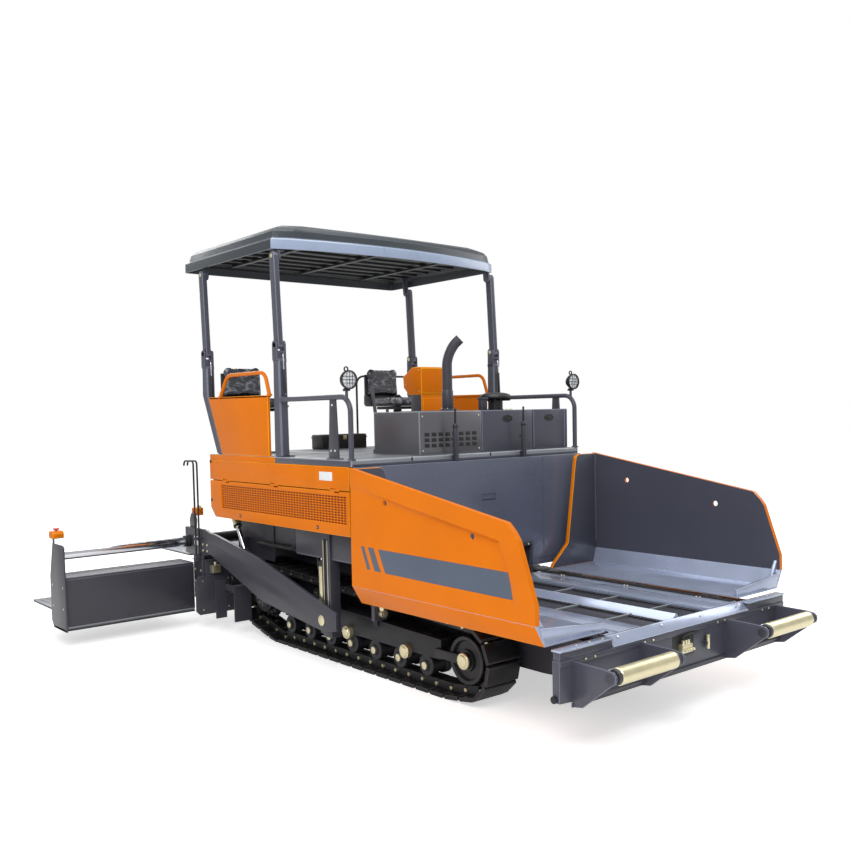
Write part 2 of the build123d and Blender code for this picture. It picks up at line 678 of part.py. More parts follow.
def make_handrails():
    """Tube rails from the front posts to the deck's front corners, and a thin rail at the rear."""
    y = BODY_HALF - 20
    r = 21
    main = bent_tube([(fore(-1048), y, RAIL_Z), (fore(-24), y, RAIL_Z), (fore(-24), y, DECK_Z)], r, 120)
    mid = round_bar((fore(-245), y, DECK_Z), (fore(-245), y, RAIL_Z), r)
    stub = round_bar((fore(-70), y, RAIL_Z - 22), (fore(-70), y, LAMP_Z - LAMP_R - 12), 12)
    x = fore(-2350)
    top = DECK_Z + 758
    ends = (BODY_HALF - 880, BODY_HALF - 120)
    rear = bent_tube([(x, ends[0], DECK_Z), (x, ends[0], top), (x, ends[1], top), (x, ends[1], DECK_Z)], 11, 90)
    return both(join(main, mid, stub)) + [rear]


def make_lamps():
    """Round work lamp on its foot above each front rail."""
    y = BODY_HALF - 20
    foot = block((fore(-90), fore(-50)), (y - 16, y + 16), (LAMP_Z - LAMP_R - 12, LAMP_Z - LAMP_R + 12))
    drum = round_bar((fore(-104), y, LAMP_Z), (fore(-24), y, LAMP_Z), LAMP_R)
    return both(join(foot, drum))


def make_hood():
    """Low hood across the front of the deck, with the hinge plate of its lid."""
    x = (fore(HOOD_X[0]), fore(HOOD_X[1]))
    outer = block(x, (-573, LID_Y[0] - 10), (DECK_Z, HOOD_TOP_Z))
    inner = block((x[0] + HOOD_T, x[1] - HOOD_T), (-573 + HOOD_T, LID_Y[0] - 10 - HOOD_T),
                  (DECK_Z - 1, HOOD_TOP_Z - HOOD_T))
    end = block(x, (LID_Y[1] + 6, BODY_HALF - 70), (DECK_Z, HOOD_TOP_Z))
    hinge_x = x[0] - LID_HINGE_R - 1
    plate = block((hinge_x - 24, hinge_x - 6), LID_Y, (DECK_Z, HOOD_TOP_Z - 4))
    pieces = [outer - inner, end]
    knuckles = []
    for y in LID_HINGES:
        knuckles.append(cross_bar(hinge_x, HOOD_TOP_Z, (y + 52, y + 102), LID_HINGE_R))
        knuckles.append(block((hinge_x - 24, hinge_x - 2), (y + 52, y + 102), (HOOD_TOP_Z - 9, HOOD_TOP_Z)))
        knuckles.append(cross_bar(hinge_x, HOOD_TOP_Z, (y + 2, y + 53), DOOR_PIN_R))
    room = []
    for y in LID_HINGES:
        room.append(cross_bar(hinge_x, HOOD_TOP_Z, (y - 4, y + 51), LID_HINGE_R + 2))
    return pieces + [join(plate - room, knuckles)]


def make_hood_lid():
    """Left part of the hood, a lid hinged along its rear edge."""
    x = (fore(HOOD_X[0]), fore(HOOD_X[1]))
    outer = block(x, LID_Y, (DECK_Z + 0.5, HOOD_TOP_Z))
    inner = block((x[0] + HOOD_T, x[1] - HOOD_T), (LID_Y[0] + HOOD_T, LID_Y[1] - HOOD_T),
                  (DECK_Z, HOOD_TOP_Z - HOOD_T))
    hinge_x = x[0] - LID_HINGE_R - 1
    knuckles = []
    for y in LID_HINGES:
        knuckle = join(cross_bar(hinge_x, HOOD_TOP_Z, (y, y + 50), LID_HINGE_R),
                       block((hinge_x, x[0] + 1), (y, y + 50), (HOOD_TOP_Z - 6, HOOD_TOP_Z)))
        knuckles.append(knuckle - cross_bar(hinge_x, HOOD_TOP_Z, (y - 1, y + 51), DOOR_PIN_R + RUN))
    return join(outer - inner, knuckles)


def make_stack():
    """Exhaust stack with its bent outlet."""
    x = fore(-350)
    y = -15
    z = HOOD_TOP_Z
    pipe = bent_tube([(x, y, z), (x, y, z + 522), (x + 60, y + 60, z + 652)], 46, 120)
    flange = round_bar((x, y, z), (x, y, z + 20), 62)
    return join(pipe, flange)


def make_precleaner():
    """Mushroom air pre-cleaner on its neck."""
    x = fore(-350)
    y = 565
    z = HOOD_TOP_Z + 102
    neck = round_bar((x, y, HOOD_TOP_Z), (x, y, z + 10), 70)
    cap = Solid.make_cone(150, 90, 60, Plane(origin=(x, y, z), z_dir=(0, 0, 1)))
    return join(neck, cap)


def make_console():
    """Control console with its slanted display housing."""
    y = (180, 560)
    z = DECK_Z + 528
    foot = block((fore(-1180), fore(-960)), y, (DECK_Z, z))
    head = plate_xz([(fore(-1180), z), (fore(-960), z), (fore(-960), z + 260), (fore(-1090), z + 260),
                     (fore(-1290), z + 140), (fore(-1250), z + 30)], y)
    return join(foot, head)


def make_seats():
    """Cushion and back of two seats at the rear of the deck."""
    seats = []
    for x, y in SEATS:
        cushion = block((fore(x - 230), fore(x + 250)), (y - 230, y + 230), (SEAT_Z, SEAT_Z + 90))
        back = block((fore(x - 300), fore(x - 230)), (y - 220, y + 220), (SEAT_Z + 30, SEAT_Z + 420))
        seats.append(join(cushion, back))
    return seats


def make_seat_stands():
    """Pedestal, slide and foot plate under each seat."""
    stands = []
    for x, y in SEATS:
        column = block((fore(x - 40), fore(x + 40)), (y - 40, y + 40), (DECK_Z + 14, SEAT_Z - 30))
        slide = block((fore(x - 180), fore(x + 200)), (y - 180, y + 180), (SEAT_Z - 30, SEAT_Z))
        foot = block((fore(x - 150), fore(x + 150)), (y - 120, y + 120), (DECK_Z, DECK_Z + 14))
        stands.append(join(column, slide, foot))
    return stands


def make_levers():
    """Raked lever and its stay near the middle of the deck."""
    x, y = fore(-770), -440
    base = block((x - 60, x + 60), (y - 50, y + 60), (DECK_Z, DECK_Z + 40))
    top = DECK_Z + 40
    lever = plate_xz([(x - 30, top), (x + 6, top), (x - 118, top + 608), (x - 142, top + 608)], (y - 22, y + 14))
    stay = plate_xz([(x + 10, top), (x + 36, top), (x + 62, top + 358), (x + 40, top + 358)], (y + 22, y + 48))
    return join(base, lever, stay)


def make_deck_box():
    """Tool box at the rear of the deck."""
    return block((fore(-2330), fore(-2130)), (-180, 380), (DECK_Z, DECK_Z + 148))


def make_front_tubes():
    """Two upright feeler tubes standing at the hopper's rear wall."""
    tubes = []
    for y in (-255, 553):
        lower = round_bar((fore(22), y, DECK_Z - DECK_T), (fore(22), y, DECK_Z + 258), 22)
        upper = round_bar((fore(22), y, DECK_Z + 258), (fore(22), y, DECK_Z + 393), 9)
        tubes.append(join(lower, upper))
    return tubes


# ---------------------------------------------------------------- tow points and cylinders
def make_tow_brackets():
    """Guide on each side that carries the tow pin, hung from the engine bay."""
    x, z = fore(TOW_PIVOT[0]), TOW_PIVOT[1]
    guide = block((x - 60, x + 60), GUIDE_Y, (z - 150, 1500))
    arm = block((x - 60, x + 60), (SHELL_HALF, GUIDE_Y[0] + 1), (1180, 1500))
    pin = cross_bar(x, z, (GUIDE_Y[1] - 1, ARM_Y[1] + 1), TOW_PIN_R)
    cap = cross_bar(x, z, (ARM_Y[1] + 1, ARM_Y[1] + 9), TOW_PIN_R + 14)
    return both(join(guide, arm, pin, cap))


def make_levelling():
    """Levelling cylinder beside each tow guide."""
    x = fore(-670)
    y = GUIDE_Y[1] - 45
    barrel = round_bar((x, y, 320), (x, y, 903), 38)
    rod = round_bar((x, y, 903), (x, y, 1190), 20)
    guide_face = fore(TOW_PIVOT[0]) - 60
    lug = block((x - 24, guide_face), (y - 24, y + 24), (1186, 1240))
    foot = block((x - 24, guide_face), (y - 22, y + 22), (292, 322))
    return both(join(barrel, rod, lug, foot))


def make_lift_brackets():
    """Brackets under the deck that carry the lift cylinders."""
    x, z = fore(LIFT_TOP[0]), LIFT_TOP[1]
    plates = []
    for y in (LIFT_Y - 52, LIFT_Y + 42):
        plates.append(plate_xz([(x - 38, z - 45), (x + 50, z - 45), (x + 70, DECK_Z - DECK_T),
                                (x - 38, DECK_Z - DECK_T)], (y, y + 10)))
    pin = cross_bar(x, z, (LIFT_Y - 52, LIFT_Y + 52), PIN_R)
    return both(join(plates, pin))


def cylinder_barrel(start, end, length, radius, bore, eye_axis, eye_half):
    """Barrel from its eye at start towards end, bored for its rod."""
    a = Vector(*start)
    way = (Vector(*end) - a).normalized()
    body = round_bar(a + way * 30, a + way * length, radius)
    eye = round_bar(a - eye_axis * eye_half, a + eye_axis * eye_half, 36)
    shape = join(body, eye)
    shape = shape - round_bar(a - eye_axis * (eye_half + 1), a + eye_axis * (eye_half + 1), PIN_R + RUN)
    return shape - round_bar(a + way * 75, a + way * (length + 1), bore)


def make_lift_barrel(side):
    """Barrel of the screed's lift cylinder."""
    start = (fore(LIFT_TOP[0]), LIFT_Y, LIFT_TOP[1])
    end = (fore(LIFT_EYE[0]), LIFT_Y, LIFT_EYE[1])
    return mirrored(cylinder_barrel(start, end, 490, 38, 22 + RUN, Vector(0, 1, 0), 36), side)


def make_lift_rod(side):
    """Rod of the screed's lift cylinder."""
    start = (fore(LIFT_TOP[0]), LIFT_Y, LIFT_TOP[1])
    end = (fore(LIFT_EYE[0]), LIFT_Y, LIFT_EYE[1])
    a = Vector(*start)
    b = Vector(*end)
    way = (b - a).normalized()
    rod = round_bar(a + way * 215, b - way * 20, 22)
    eye = round_bar(b - Vector(0, 24, 0), b + Vector(0, 24, 0), 34)
    return mirrored(join(rod, eye), side)


def make_wing_barrel(side):
    """Barrel of the hopper wing's cylinder."""
    x = fore(WING_CYL_X)
    a = Vector(x, *WING_CYL_BASE)
    b = Vector(x, *WING_CYL_EYE)
    way = (b - a).normalized()
    body = round_bar(a + way * 28, a + way * 520, 24)
    eye = round_bar(a - Vector(22, 0, 0), a + Vector(22, 0, 0), 30)
    shape = join(body, eye) - round_bar(a - Vector(23, 0, 0), a + Vector(23, 0, 0), PIN_R - 3 + RUN)
    return mirrored(shape - round_bar(a + way * 60, a + way * 521, 15 + RUN), side)


def make_wing_rod(side):
    """Rod of the hopper wing's cylinder."""
    x = fore(WING_CYL_X)
    a = Vector(x, *WING_CYL_BASE)
    b = Vector(x, *WING_CYL_EYE)
    way = (b - a).normalized()
    rod = round_bar(a + way * 110, b - way * 15, 15)
    eye = round_bar(b - Vector(18, 0, 0), b + Vector(18, 0, 0), 28)
    return mirrored(join(rod, eye), side)


# ---------------------------------------------------------------- screed
def make_tow_arms():
    """Flat tow arm on each side, from the tow pin back to the screed's uprights."""
    arm = plate_xz([(fore(-360), 365), (fore(-360), 522), (fore(-1600), 840), (fore(-2430), 976),
                    (fore(-2550), 985), (fore(-2550), 770), (fore(-1547), 452), (fore(-564), 341)], ARM_Y)
    head = plate_xz([(fore(-2550), 985), (fore(-2640), 1010), (fore(-3090), 1010), (fore(-3090), 740),
                     (fore(MAIN_X[1]), 740), (fore(-2550), 770)], ARM_Y)
    upright = block((fore(MAIN_X[0]), fore(MAIN_X[1])), ARM_Y, (300, 740))
    boss = cross_bar(fore(TOW_PIVOT[0]), TOW_PIVOT[1], (ARM_Y[0] - 8, ARM_Y[1]), 62)
    bore = cross_bar(fore(TOW_PIVOT[0]), TOW_PIVOT[1], (ARM_Y[0] - 9, ARM_Y[1] + 1), TOW_PIN_R + RUN)
    sleeve_hole = cross_bar(fore(TUBE_X), TUBE_Z, (ARM_Y[0] - 1, ARM_Y[1] + 1), TUBE_R + SLEEVE_T)
    lift_lug = cross_bar(fore(LIFT_EYE[0]), LIFT_EYE[1], (LIFT_Y + 29, ARM_Y[0]), 40)
    return both(join(arm, boss, head, upright, lift_lug) - bore - sleeve_hole)


def make_screed():
    """Main screed box on its sole plate, with the step plate along its front."""
    x = (fore(MAIN_X[0]), fore(MAIN_X[1]))
    sole_top = SCREED_BOTTOM_Z + SOLE_T
    body = block(x, (-MAIN_HALF, MAIN_HALF), (sole_top, SCREED_TOP_Z + 40))
    sole = block(x, (-MAIN_HALF, MAIN_HALF), (SCREED_BOTTOM_Z, sole_top))
    step = block((x[1], fore(STEP_X)), (-STEP_HALF, STEP_HALF), (SCREED_BOTTOM_Z, STEP_TOP_Z))
    return join(body, sole, step)


def make_sleeve():
    """Guide sleeve on each side, held in the arms' uprights and by the screed's back plate."""
    x, z = fore(TUBE_X), TUBE_Z
    outer_r = TUBE_R + SLEEVE_T
    outer = cross_bar(x, z, (20, SLEEVE_END_Y), outer_r)
    inner = cross_bar(x, z, (19, SLEEVE_END_Y + 1), TUBE_R + RUN)
    saddles = []
    for y in (60, 620):
        saddles.append(block((fore(MAIN_X[0]), fore(MAIN_X[0]) + 60), (y, y + 16),
                             (SCREED_TOP_Z + 40, TUBE_Z + 20)))
        saddles.append(block((fore(MAIN_X[0]) - 130, fore(MAIN_X[0])), (y, y + 16), (TUBE_Z - 60, TUBE_Z + 20)))
    return both(join(outer, saddles) - inner)


def make_walkway():
    """Walkway plate behind the arms, above the sliding extensions."""
    z = (SCREED_TOP_Z + 48, SCREED_TOP_Z + 68)
    edge = fore(TUBE_X - 70)
    plate = block((fore(REAR_END + 60), edge), (-ARM_Y[0], ARM_Y[0]), z)
    straps = []
    for y in (-900, -300, 300, 900):
        straps.append(block((edge, fore(MAIN_X[0]) + 20), (y - 15, y + 15), z))
        straps.append(block((fore(MAIN_X[0]), fore(MAIN_X[0]) + 20), (y - 15, y + 15),
                            (SCREED_TOP_Z + 40, z[0])))
    return join(plate, straps)


def make_extension(side):
    """Sliding screed extension with its step at the back."""
    x = (fore(EXT_X[0]), fore(EXT_X[1]))
    y = (EXT_INNER_Y, EXT_OUTER_Y)
    sole_top = SCREED_BOTTOM_Z + SOLE_T
    bores = [cross_bar(fore(bx), bz, (y[1] - 80, y[1] + 1), BOLT_R) for bx, bz in PLATE_BOLTS]
    body = block(x, y, (sole_top, SCREED_TOP_Z)) - bores
    sole = block(x, y, (SCREED_BOTTOM_Z, sole_top))
    step = block((fore(REAR_END), x[0]), y, (300, 325))
    return mirrored(join(body, sole, step), side)


def make_end_plate(side):
    """End plate of the extension with its guide tube, stop box and bolt holes."""
    y = (EXT_OUTER_Y, EXT_OUTER_Y + END_PLATE_T)
    top = SCREED_TOP_Z + 303
    bores = [cross_bar(fore(bx), bz, (y[0] - 1, y[1] + 1), BOLT_R) for bx, bz in PLATE_BOLTS]
    plate = plate_xz([(fore(-2890), SCREED_BOTTOM_Z), (fore(-2900), top - 20), (fore(-2930), top),
                      (fore(-3200), top), (fore(-3300), top - 320), (fore(-3300), SCREED_BOTTOM_Z + 60),
                      (fore(-3240), SCREED_BOTTOM_Z)], y) - bores
    tube = cross_bar(fore(TUBE_X), TUBE_Z, (MAIN_HALF + 10, EXT_OUTER_Y), TUBE_R)
    stem = block((fore(-3190), fore(-3170)), y, (top, top + 40))
    stop_box = block((fore(-3240), fore(-3120)), (EXT_OUTER_Y - 90, y[1]), (top + 40, top + 110))
    return mirrored(join(plate, tube, stem, stop_box), side)


def make_auger(side):
    """Auger: shaft with a row of tilted blades."""
    shaft = cross_bar(fore(AUGER_X), AUGER_Z, (60 + SEAT_GAP, AUGER_END_Y), 40)
    pitch = (AUGER_END_Y - 220) / (AUGER_BLADES - 1)
    blades = []
    for i in range(AUGER_BLADES):
        y = 160 + i * pitch
        disc = round_bar((0, 0, -8), (0, 0, 8), AUGER_R)
        tilt = 14
        blades.append(Pos(fore(AUGER_X), y, AUGER_Z) * Rot(90 + tilt, 0, 0) * disc)
    return mirrored(join(shaft, blades), side)


def make_auger_hanger():
    """Gear case between the augers, hung from the tractor's rear."""
    x = fore(AUGER_X)
    roof_top = TUNNEL_TOP_Z + FLOOR_T
    case = block((x - 70, x + 70), (-60, 60), (320, roof_top + 80))
    hanger = block((x + 70, fore(FRAME_REAR)), (-60, 60), (700, roof_top + 80))
    saddle = block((fore(FRAME_REAR), fore(BODY_REAR + 60)), (-560, 560), (roof_top, roof_top + 80))
    return join(case, hanger, saddle)


def make_limiting_plates():
    """Upright plates at each side of the auger channel and behind each track."""
    rear_x = (fore(-2458), fore(-2442))
    track_x = (fore(-2178), fore(-2162))
    inner = SHELL_HALF + 10
    tie_y = ARM_Y[0] - 78
    rear = block(rear_x, (tie_y, ARM_Y[1] + 2), (SCREED_BOTTOM_Z, 520))
    track_plate = block(track_x, (inner, ARM_Y[0] - 18), (SCREED_BOTTOM_Z, 500))
    hanger = block(track_x, (inner, inner + 60), (500, SHELL_BOTTOM_Z + 60))
    foot = block(track_x, (SHELL_HALF, inner), (SHELL_BOTTOM_Z, SHELL_BOTTOM_Z + 60))
    tie = block((rear_x[1], track_x[0]), (tie_y, tie_y + 16), (420, 480))
    return both(join(rear, track_plate, hanger, foot, tie))


PARTS = {
    "chassis_frame": make_chassis(),
    "frame_plates": make_frame_plates(),
    "engine_bay": make_engine_bay(),
    "panel_outriggers": make_outriggers(),
    "engine_block": make_engine(),
    "hopper_rear_wall": make_rear_wall(),
    "operator_deck": make_deck(),
    "side_panels": make_side_panels(),
    "hopper_floor": make_hopper_floor(),
    "front_bumper": make_bumper(),
    "lower_posts": make_lower_posts(),
    "front_canopy_posts": make_links(FRONT_PIVOT),
    "rear_canopy_posts": make_links(REAR_PIVOT),
    "canopy_roof": make_roof(),
    "side_guards": make_side_guards(),
    "handrails": make_handrails(),
    "work_lamps": make_lamps(),
    "engine_hood": make_hood(),
    "hood_lid": make_hood_lid(),
    "exhaust_stack": make_stack(),
    "air_precleaner": make_precleaner(),
    "control_console": make_console(),
    "operator_seats": make_seats(),
    "deck_fittings": [make_seat_stands(), make_levers(), make_deck_box(), make_front_tubes()],
    "screed_brackets": [make_tow_brackets(), make_lift_brackets()],
    "levelling_cylinders": make_levelling(),
    "tow_arms": make_tow_arms(),
    "main_screed": make_screed(),
    "guide_sleeves": make_sleeve(),
    "screed_walkway": make_walkway(),
    "auger_hanger": make_auger_hanger(),
    "limiting_plates": make_limiting_plates(),
    }
for side_name, side in SIDES:
    PARTS[f"side_door_{side_name}"] = make_side_door(side)
    PARTS[f"track_{side_name}"] = make_track(side)
    PARTS[f"undercarriage_{side_name}"] = make_undercarriage(side)
    PARTS[f"hopper_wing_{side_name}"] = make_wing(side)
    PARTS[f"wing_end_plates_{side_name}"] = make_wing_ends(side)
    PARTS[f"wing_barrel_{side_name}"] = make_wing_barrel(side)
    PARTS[f"wing_rod_{side_name}"] = make_wing_rod(side)
    PARTS[f"push_roller_{side_name}"] = make_push_roller(side)
    PARTS[f"lift_barrel_{side_name}"] = make_lift_barrel(side)
    PARTS[f"lift_rod_{side_name}"] = make_lift_rod(side)
    PARTS[f"screed_extension_{side_name}"] = make_extension(side)
    PARTS[f"end_plate_{side_name}"] = make_end_plate(side)
    PARTS[f"auger_{side_name}"] = make_auger(side)

for name, shape in PARTS.items():
    save(name, shape)
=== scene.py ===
import json
import math

import bpy
import bmesh
from mathutils import Matrix, Vector


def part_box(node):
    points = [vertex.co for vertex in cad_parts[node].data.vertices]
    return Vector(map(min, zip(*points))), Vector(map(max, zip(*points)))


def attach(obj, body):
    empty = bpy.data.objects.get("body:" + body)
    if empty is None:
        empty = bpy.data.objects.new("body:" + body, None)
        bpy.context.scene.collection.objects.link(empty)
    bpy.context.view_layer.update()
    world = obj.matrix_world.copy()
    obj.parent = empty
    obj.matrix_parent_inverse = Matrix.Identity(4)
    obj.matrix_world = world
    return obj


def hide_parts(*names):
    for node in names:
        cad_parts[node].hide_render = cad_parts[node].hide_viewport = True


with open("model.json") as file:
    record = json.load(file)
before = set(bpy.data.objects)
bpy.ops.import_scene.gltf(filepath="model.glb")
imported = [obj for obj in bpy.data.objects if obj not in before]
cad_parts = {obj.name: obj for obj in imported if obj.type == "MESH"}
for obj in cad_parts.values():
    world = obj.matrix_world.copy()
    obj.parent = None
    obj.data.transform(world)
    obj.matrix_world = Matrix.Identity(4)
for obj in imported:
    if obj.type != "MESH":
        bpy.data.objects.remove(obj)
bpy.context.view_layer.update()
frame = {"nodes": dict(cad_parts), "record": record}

# Sizes are in millimetres. x is measured forwards from the rear face of the hopper's rear wall,
# y to the machine's left of its middle, z up from the ground.
WALL_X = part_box("hopper_rear_wall")[0][0]
SIDES = (("left", 1), ("right", -1))
AHEAD = (1, 0, 0)
ACROSS = (0, 1, 0)
UP = (0, 0, 1)


# ---------------- workshop helpers
def at(x, y, z):
    """Place in metres."""
    return Vector((WALL_X + x / 1000, y / 1000, z / 1000))


def rest():
    """Leave edit mode with nothing selected."""
    if bpy.context.mode != "OBJECT":
        bpy.ops.object.mode_set(mode="OBJECT")
    bpy.ops.object.select_all(action="DESELECT")


def pick(*objects):
    """Select these objects alone; the last one is active."""
    rest()
    for one in objects:
        one.select_set(True)
    bpy.context.view_layer.objects.active = objects[-1]


def opened(piece):
    """Open a piece's mesh for editing, all of it selected."""
    pick(piece)
    bpy.ops.object.mode_set(mode="EDIT")
    bpy.ops.mesh.select_all(action="SELECT")


def flipped(piece):
    """Turn all of a piece's faces over."""
    opened(piece)
    bpy.ops.mesh.flip_normals()
    rest()
    return piece


def named(name, coat):
    """Name the object just added and give it its paint and the paint of its edges."""
    piece = bpy.context.active_object
    piece.name = name
    piece.data.name = name
    piece.data.materials.append(coat["face"])
    piece.data.materials.append(coat["edge"])
    piece["slot"] = coat["slot"]
    return piece


def settle(piece):
    """Bring a piece's place, turn and size into its mesh."""
    pick(piece)
    bpy.ops.object.transform_apply(location=True, rotation=True, scale=True)
    return piece


def applied(piece, kind, **settings):
    """Add a modifier, set it and apply it."""
    pick(piece)
    step = piece.modifiers.new(kind.lower(), kind)
    for key, value in settings.items():
        setattr(step, key, value)
    bpy.ops.object.modifier_apply(modifier=step.name)
    return piece


def smooth(piece, angle=35):
    """Smooth shading up to an angle between faces."""
    pick(piece)
    bpy.ops.object.shade_smooth_by_angle(angle=math.radians(angle))
    return piece


def soften(piece, edge, steps=2, angle=30):
    """Round the edges; the rounded faces take the lighter edge paint, a painted highlight with a little
    wear.
    """
    if edge:
        applied(piece, "BEVEL", width=edge / 1000, segments=steps, limit_method="ANGLE",
                angle_limit=math.radians(angle), material=1, use_clamp_overlap=True)
    return smooth(piece)


def outwards(piece):
    """Weld a shape and turn its faces outwards."""
    opened(piece)
    bpy.ops.mesh.remove_doubles(threshold=0.00002)
    bpy.ops.mesh.normals_make_consistent(inside=False)
    rest()
    return piece


def block(name, x, y, z, coat, edge=2):
    """Box between its low and high faces, with rounded edges."""
    rest()
    low = at(x[0], y[0], z[0])
    high = at(x[1], y[1], z[1])
    bpy.ops.mesh.primitive_cube_add(size=1, location=(low + high) / 2)
    piece = named(name, coat)
    piece.scale = high - low
    settle(piece)
    return soften(piece, edge)


def chain(name, points, coat):
    """Line drawn from point to point; it is left in edit mode, all selected."""
    rest()
    bpy.ops.mesh.primitive_plane_add(size=0.01, location=points[0])
    piece = named(name, coat)
    opened(settle(piece))
    bpy.ops.mesh.merge(type="CENTER")
    for start, end in zip(points, points[1:]):
        bpy.ops.mesh.extrude_region_move(TRANSFORM_OT_translate={"value": end - start})
    bpy.ops.mesh.select_all(action="SELECT")
    return piece


def on_plane(plane, point, along):
    """Place of an outline's point; the third axis is the one the plane's name leaves out."""
    if plane == "xz":
        return at(point[0], along, point[1])
    if plane == "yz":
        return at(along, point[0], point[1])
    return at(point[0], point[1], along)


def plate(name, plane, points, span, coat, edge=2, steps=2):
    """Plate cut to an outline in one plane, with its thickness along the third axis."""
    piece = chain(name, [on_plane(plane, point, span[0]) for point in points], coat)
    bpy.ops.mesh.edge_face_add()
    thickness = on_plane(plane, points[0], span[1]) - on_plane(plane, points[0], span[0])
    bpy.ops.mesh.extrude_region_move(TRANSFORM_OT_translate={"value": thickness})
    outwards(piece)
    return soften(piece, edge, steps)


def rod(name, a, b, radius, coat, edge=1.0, sides=32):
    """Round bar between two places, with broken rims."""
    rest()
    way = b - a
    bpy.ops.mesh.primitive_cylinder_add(
        vertices=sides, radius=radius / 1000, depth=way.length, location=(a + b) / 2,
        rotation=way.to_track_quat("Z", "Y").to_euler())
    piece = settle(named(name, coat))
    return soften(piece, edge)


def cross(name, x, z, y, radius, coat, edge=1.0, sides=32):
    """Round bar across the machine."""
    return rod(name, at(x, y[0], z), at(x, y[1], z), radius, coat, edge, sides)


def cross_x(name, x, y, z, radius, coat, edge=1.0, sides=32):
    """Round bar along the machine."""
    return rod(name, at(x[0], y, z), at(x[1], y, z), radius, coat, edge, sides)


def upright(name, x, y, z, radius, coat, edge=1.0, sides=32):
    """Round bar standing up."""
    return rod(name, at(x, y, z[0]), at(x, y, z[1]), radius, coat, edge, sides)


def about(middle, half):
    """Low and high side of a width about its middle."""
    return (middle - half, middle + half)


def turned(name, centre, way, profile, coat, steps=32):
    """Turned piece: a profile of (radius, distance along the axis) spun about that axis."""
    axis = Vector(way).normalized()
    side = axis.orthogonal().normalized()
    line = [centre + axis * (along / 1000) + side * (radius / 1000) for radius, along in profile]
    piece = chain(name, line, coat)
    bpy.ops.mesh.spin(steps=steps, angle=math.tau, center=centre, axis=axis)
    outwards(piece)
    return smooth(piece)


def pipe(name, points, radius, coat, bend=60, turns=6):
    """Bent tube along a line whose corners are rounded."""
    piece = chain(name, points, coat)
    bpy.ops.mesh.select_all(action="DESELECT")
    mesh = bmesh.from_edit_mesh(piece.data)
    for vert in mesh.verts:
        vert.select = len(vert.link_edges) == 2
    mesh.select_flush(True)
    bmesh.update_edit_mesh(piece.data)
    if len(points) > 2:
        bpy.ops.mesh.bevel(offset=bend / 1000, segments=turns, affect="VERTICES")
    rest()
    pick(piece)
    bpy.ops.object.convert(target="CURVE")
    piece = bpy.context.active_object
    piece.data.bevel_depth = radius / 1000
    piece.data.bevel_resolution = 5
    piece.data.use_fill_caps = True
    bpy.ops.object.convert(target="MESH")
    piece = bpy.context.active_object
    piece.data.name = name
    piece.data.materials.clear()
    piece.data.materials.append(coat["face"])
    piece.data.materials.append(coat["edge"])
    outwards(piece)
    return smooth(piece, 50)


def moved(piece, name, shift):
    """Copy of a piece with its own mesh, moved by millimetres or by a matrix."""
    twin = piece.copy()
    twin.data = piece.data.copy()
    twin.name = name
    twin.data.name = name
    bpy.context.collection.objects.link(twin)
    if not isinstance(shift, Matrix):
        shift = Matrix.Translation(Vector(shift) / 1000)
    twin.data.transform(shift)
    return twin


def other_side(piece, name):
    """Mirror image of a piece on the machine's other side, its faces turned out again."""
    return flipped(moved(piece, name, Matrix.Scale(-1, 4, (0, 1, 0))))


def joined(name, *pieces):
    """One piece made of several."""
    every = []
    for one in pieces:
        every.extend(one if isinstance(one, (list, tuple)) else [one])
    pick(*reversed(every))
    if len(every) > 1:
        bpy.ops.object.join()
    piece = bpy.context.active_object
    piece.name = name
    piece.data.name = name
    return piece


def row_of(piece, count, step, name):
    """Array of a piece along one step, joined in one mesh."""
    applied(piece, "ARRAY", count=count, use_relative_offset=False, use_constant_offset=True,
            constant_offset_displace=Vector(step) / 1000)
    piece.name = name
    return piece


def cut(piece, *tools):
    """Cut tools out of a piece."""
    for tool in tools:
        applied(piece, "BOOLEAN", object=tool, operation="DIFFERENCE", solver="EXACT")
        bpy.data.objects.remove(tool)
    return smooth(piece)


def repaint(piece, coat, choose):
    """Give another paint to the faces that a rule picks by their middle and normal."""
    piece.data.materials.append(coat["face"])
    index = len(piece.data.materials) - 1
    for face in piece.data.polygons:
        if choose(face.center, face.normal):
            face.material_index = index
    return piece


def place(piece, body, *nodes):
    """Say what a finished piece rides on and which plain solids it stands for."""
    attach(piece, body)
    if nodes:
        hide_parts(*nodes)
    return piece


def place_pair(piece, body, *nodes):
    """Place a left piece and its mirror image; a star in a name stands for the side."""
    stem = piece.name
    piece.name = stem + "_left"
    twin = other_side(piece, stem + "_right")
    for one, (side, _) in zip((piece, twin), SIDES):
        place(one, body.replace("*", side), *[node.replace("*", side) for node in nodes])
    return piece, twin


def bolts(name, places, way, coat, radius=11, height=9):
    """Hexagon heads at several places, facing one way."""
    heads = []
    way = Vector(way).normalized()
    for spot in places:
        rest()
        bpy.ops.mesh.primitive_cylinder_add(vertices=6, radius=radius / 1000, depth=height / 1000,
                                            location=spot + way * (height / 2000),
                                            rotation=way.to_track_quat("Z", "Y").to_euler())
        heads.append(soften(settle(named(name, coat)), 1.5, 1))
    return joined(name, heads)


# ---------------- finishes
def srgb(red, green, blue):
    """Linear colour from the usual 0 to 255 values."""
    def linear(value):
        value = value / 255
        return value / 12.92 if value <= 0.04045 else ((value + 0.055) / 1.055) ** 2.4
    return (linear(red), linear(green), linear(blue), 1.0)


def set_inputs(node, **inputs):
    """Set a node's inputs; an underscore stands for a space in an input's name."""
    for name, value in inputs.items():
        node.inputs[name.replace("_", " ")].default_value = value
    return node


def noise(tree, vector, **inputs):
    """Noise texture read at a vector."""
    node = set_inputs(tree.nodes.new("ShaderNodeTexNoise"), **inputs)
    tree.links.new(vector, node.inputs["Vector"])
    return node


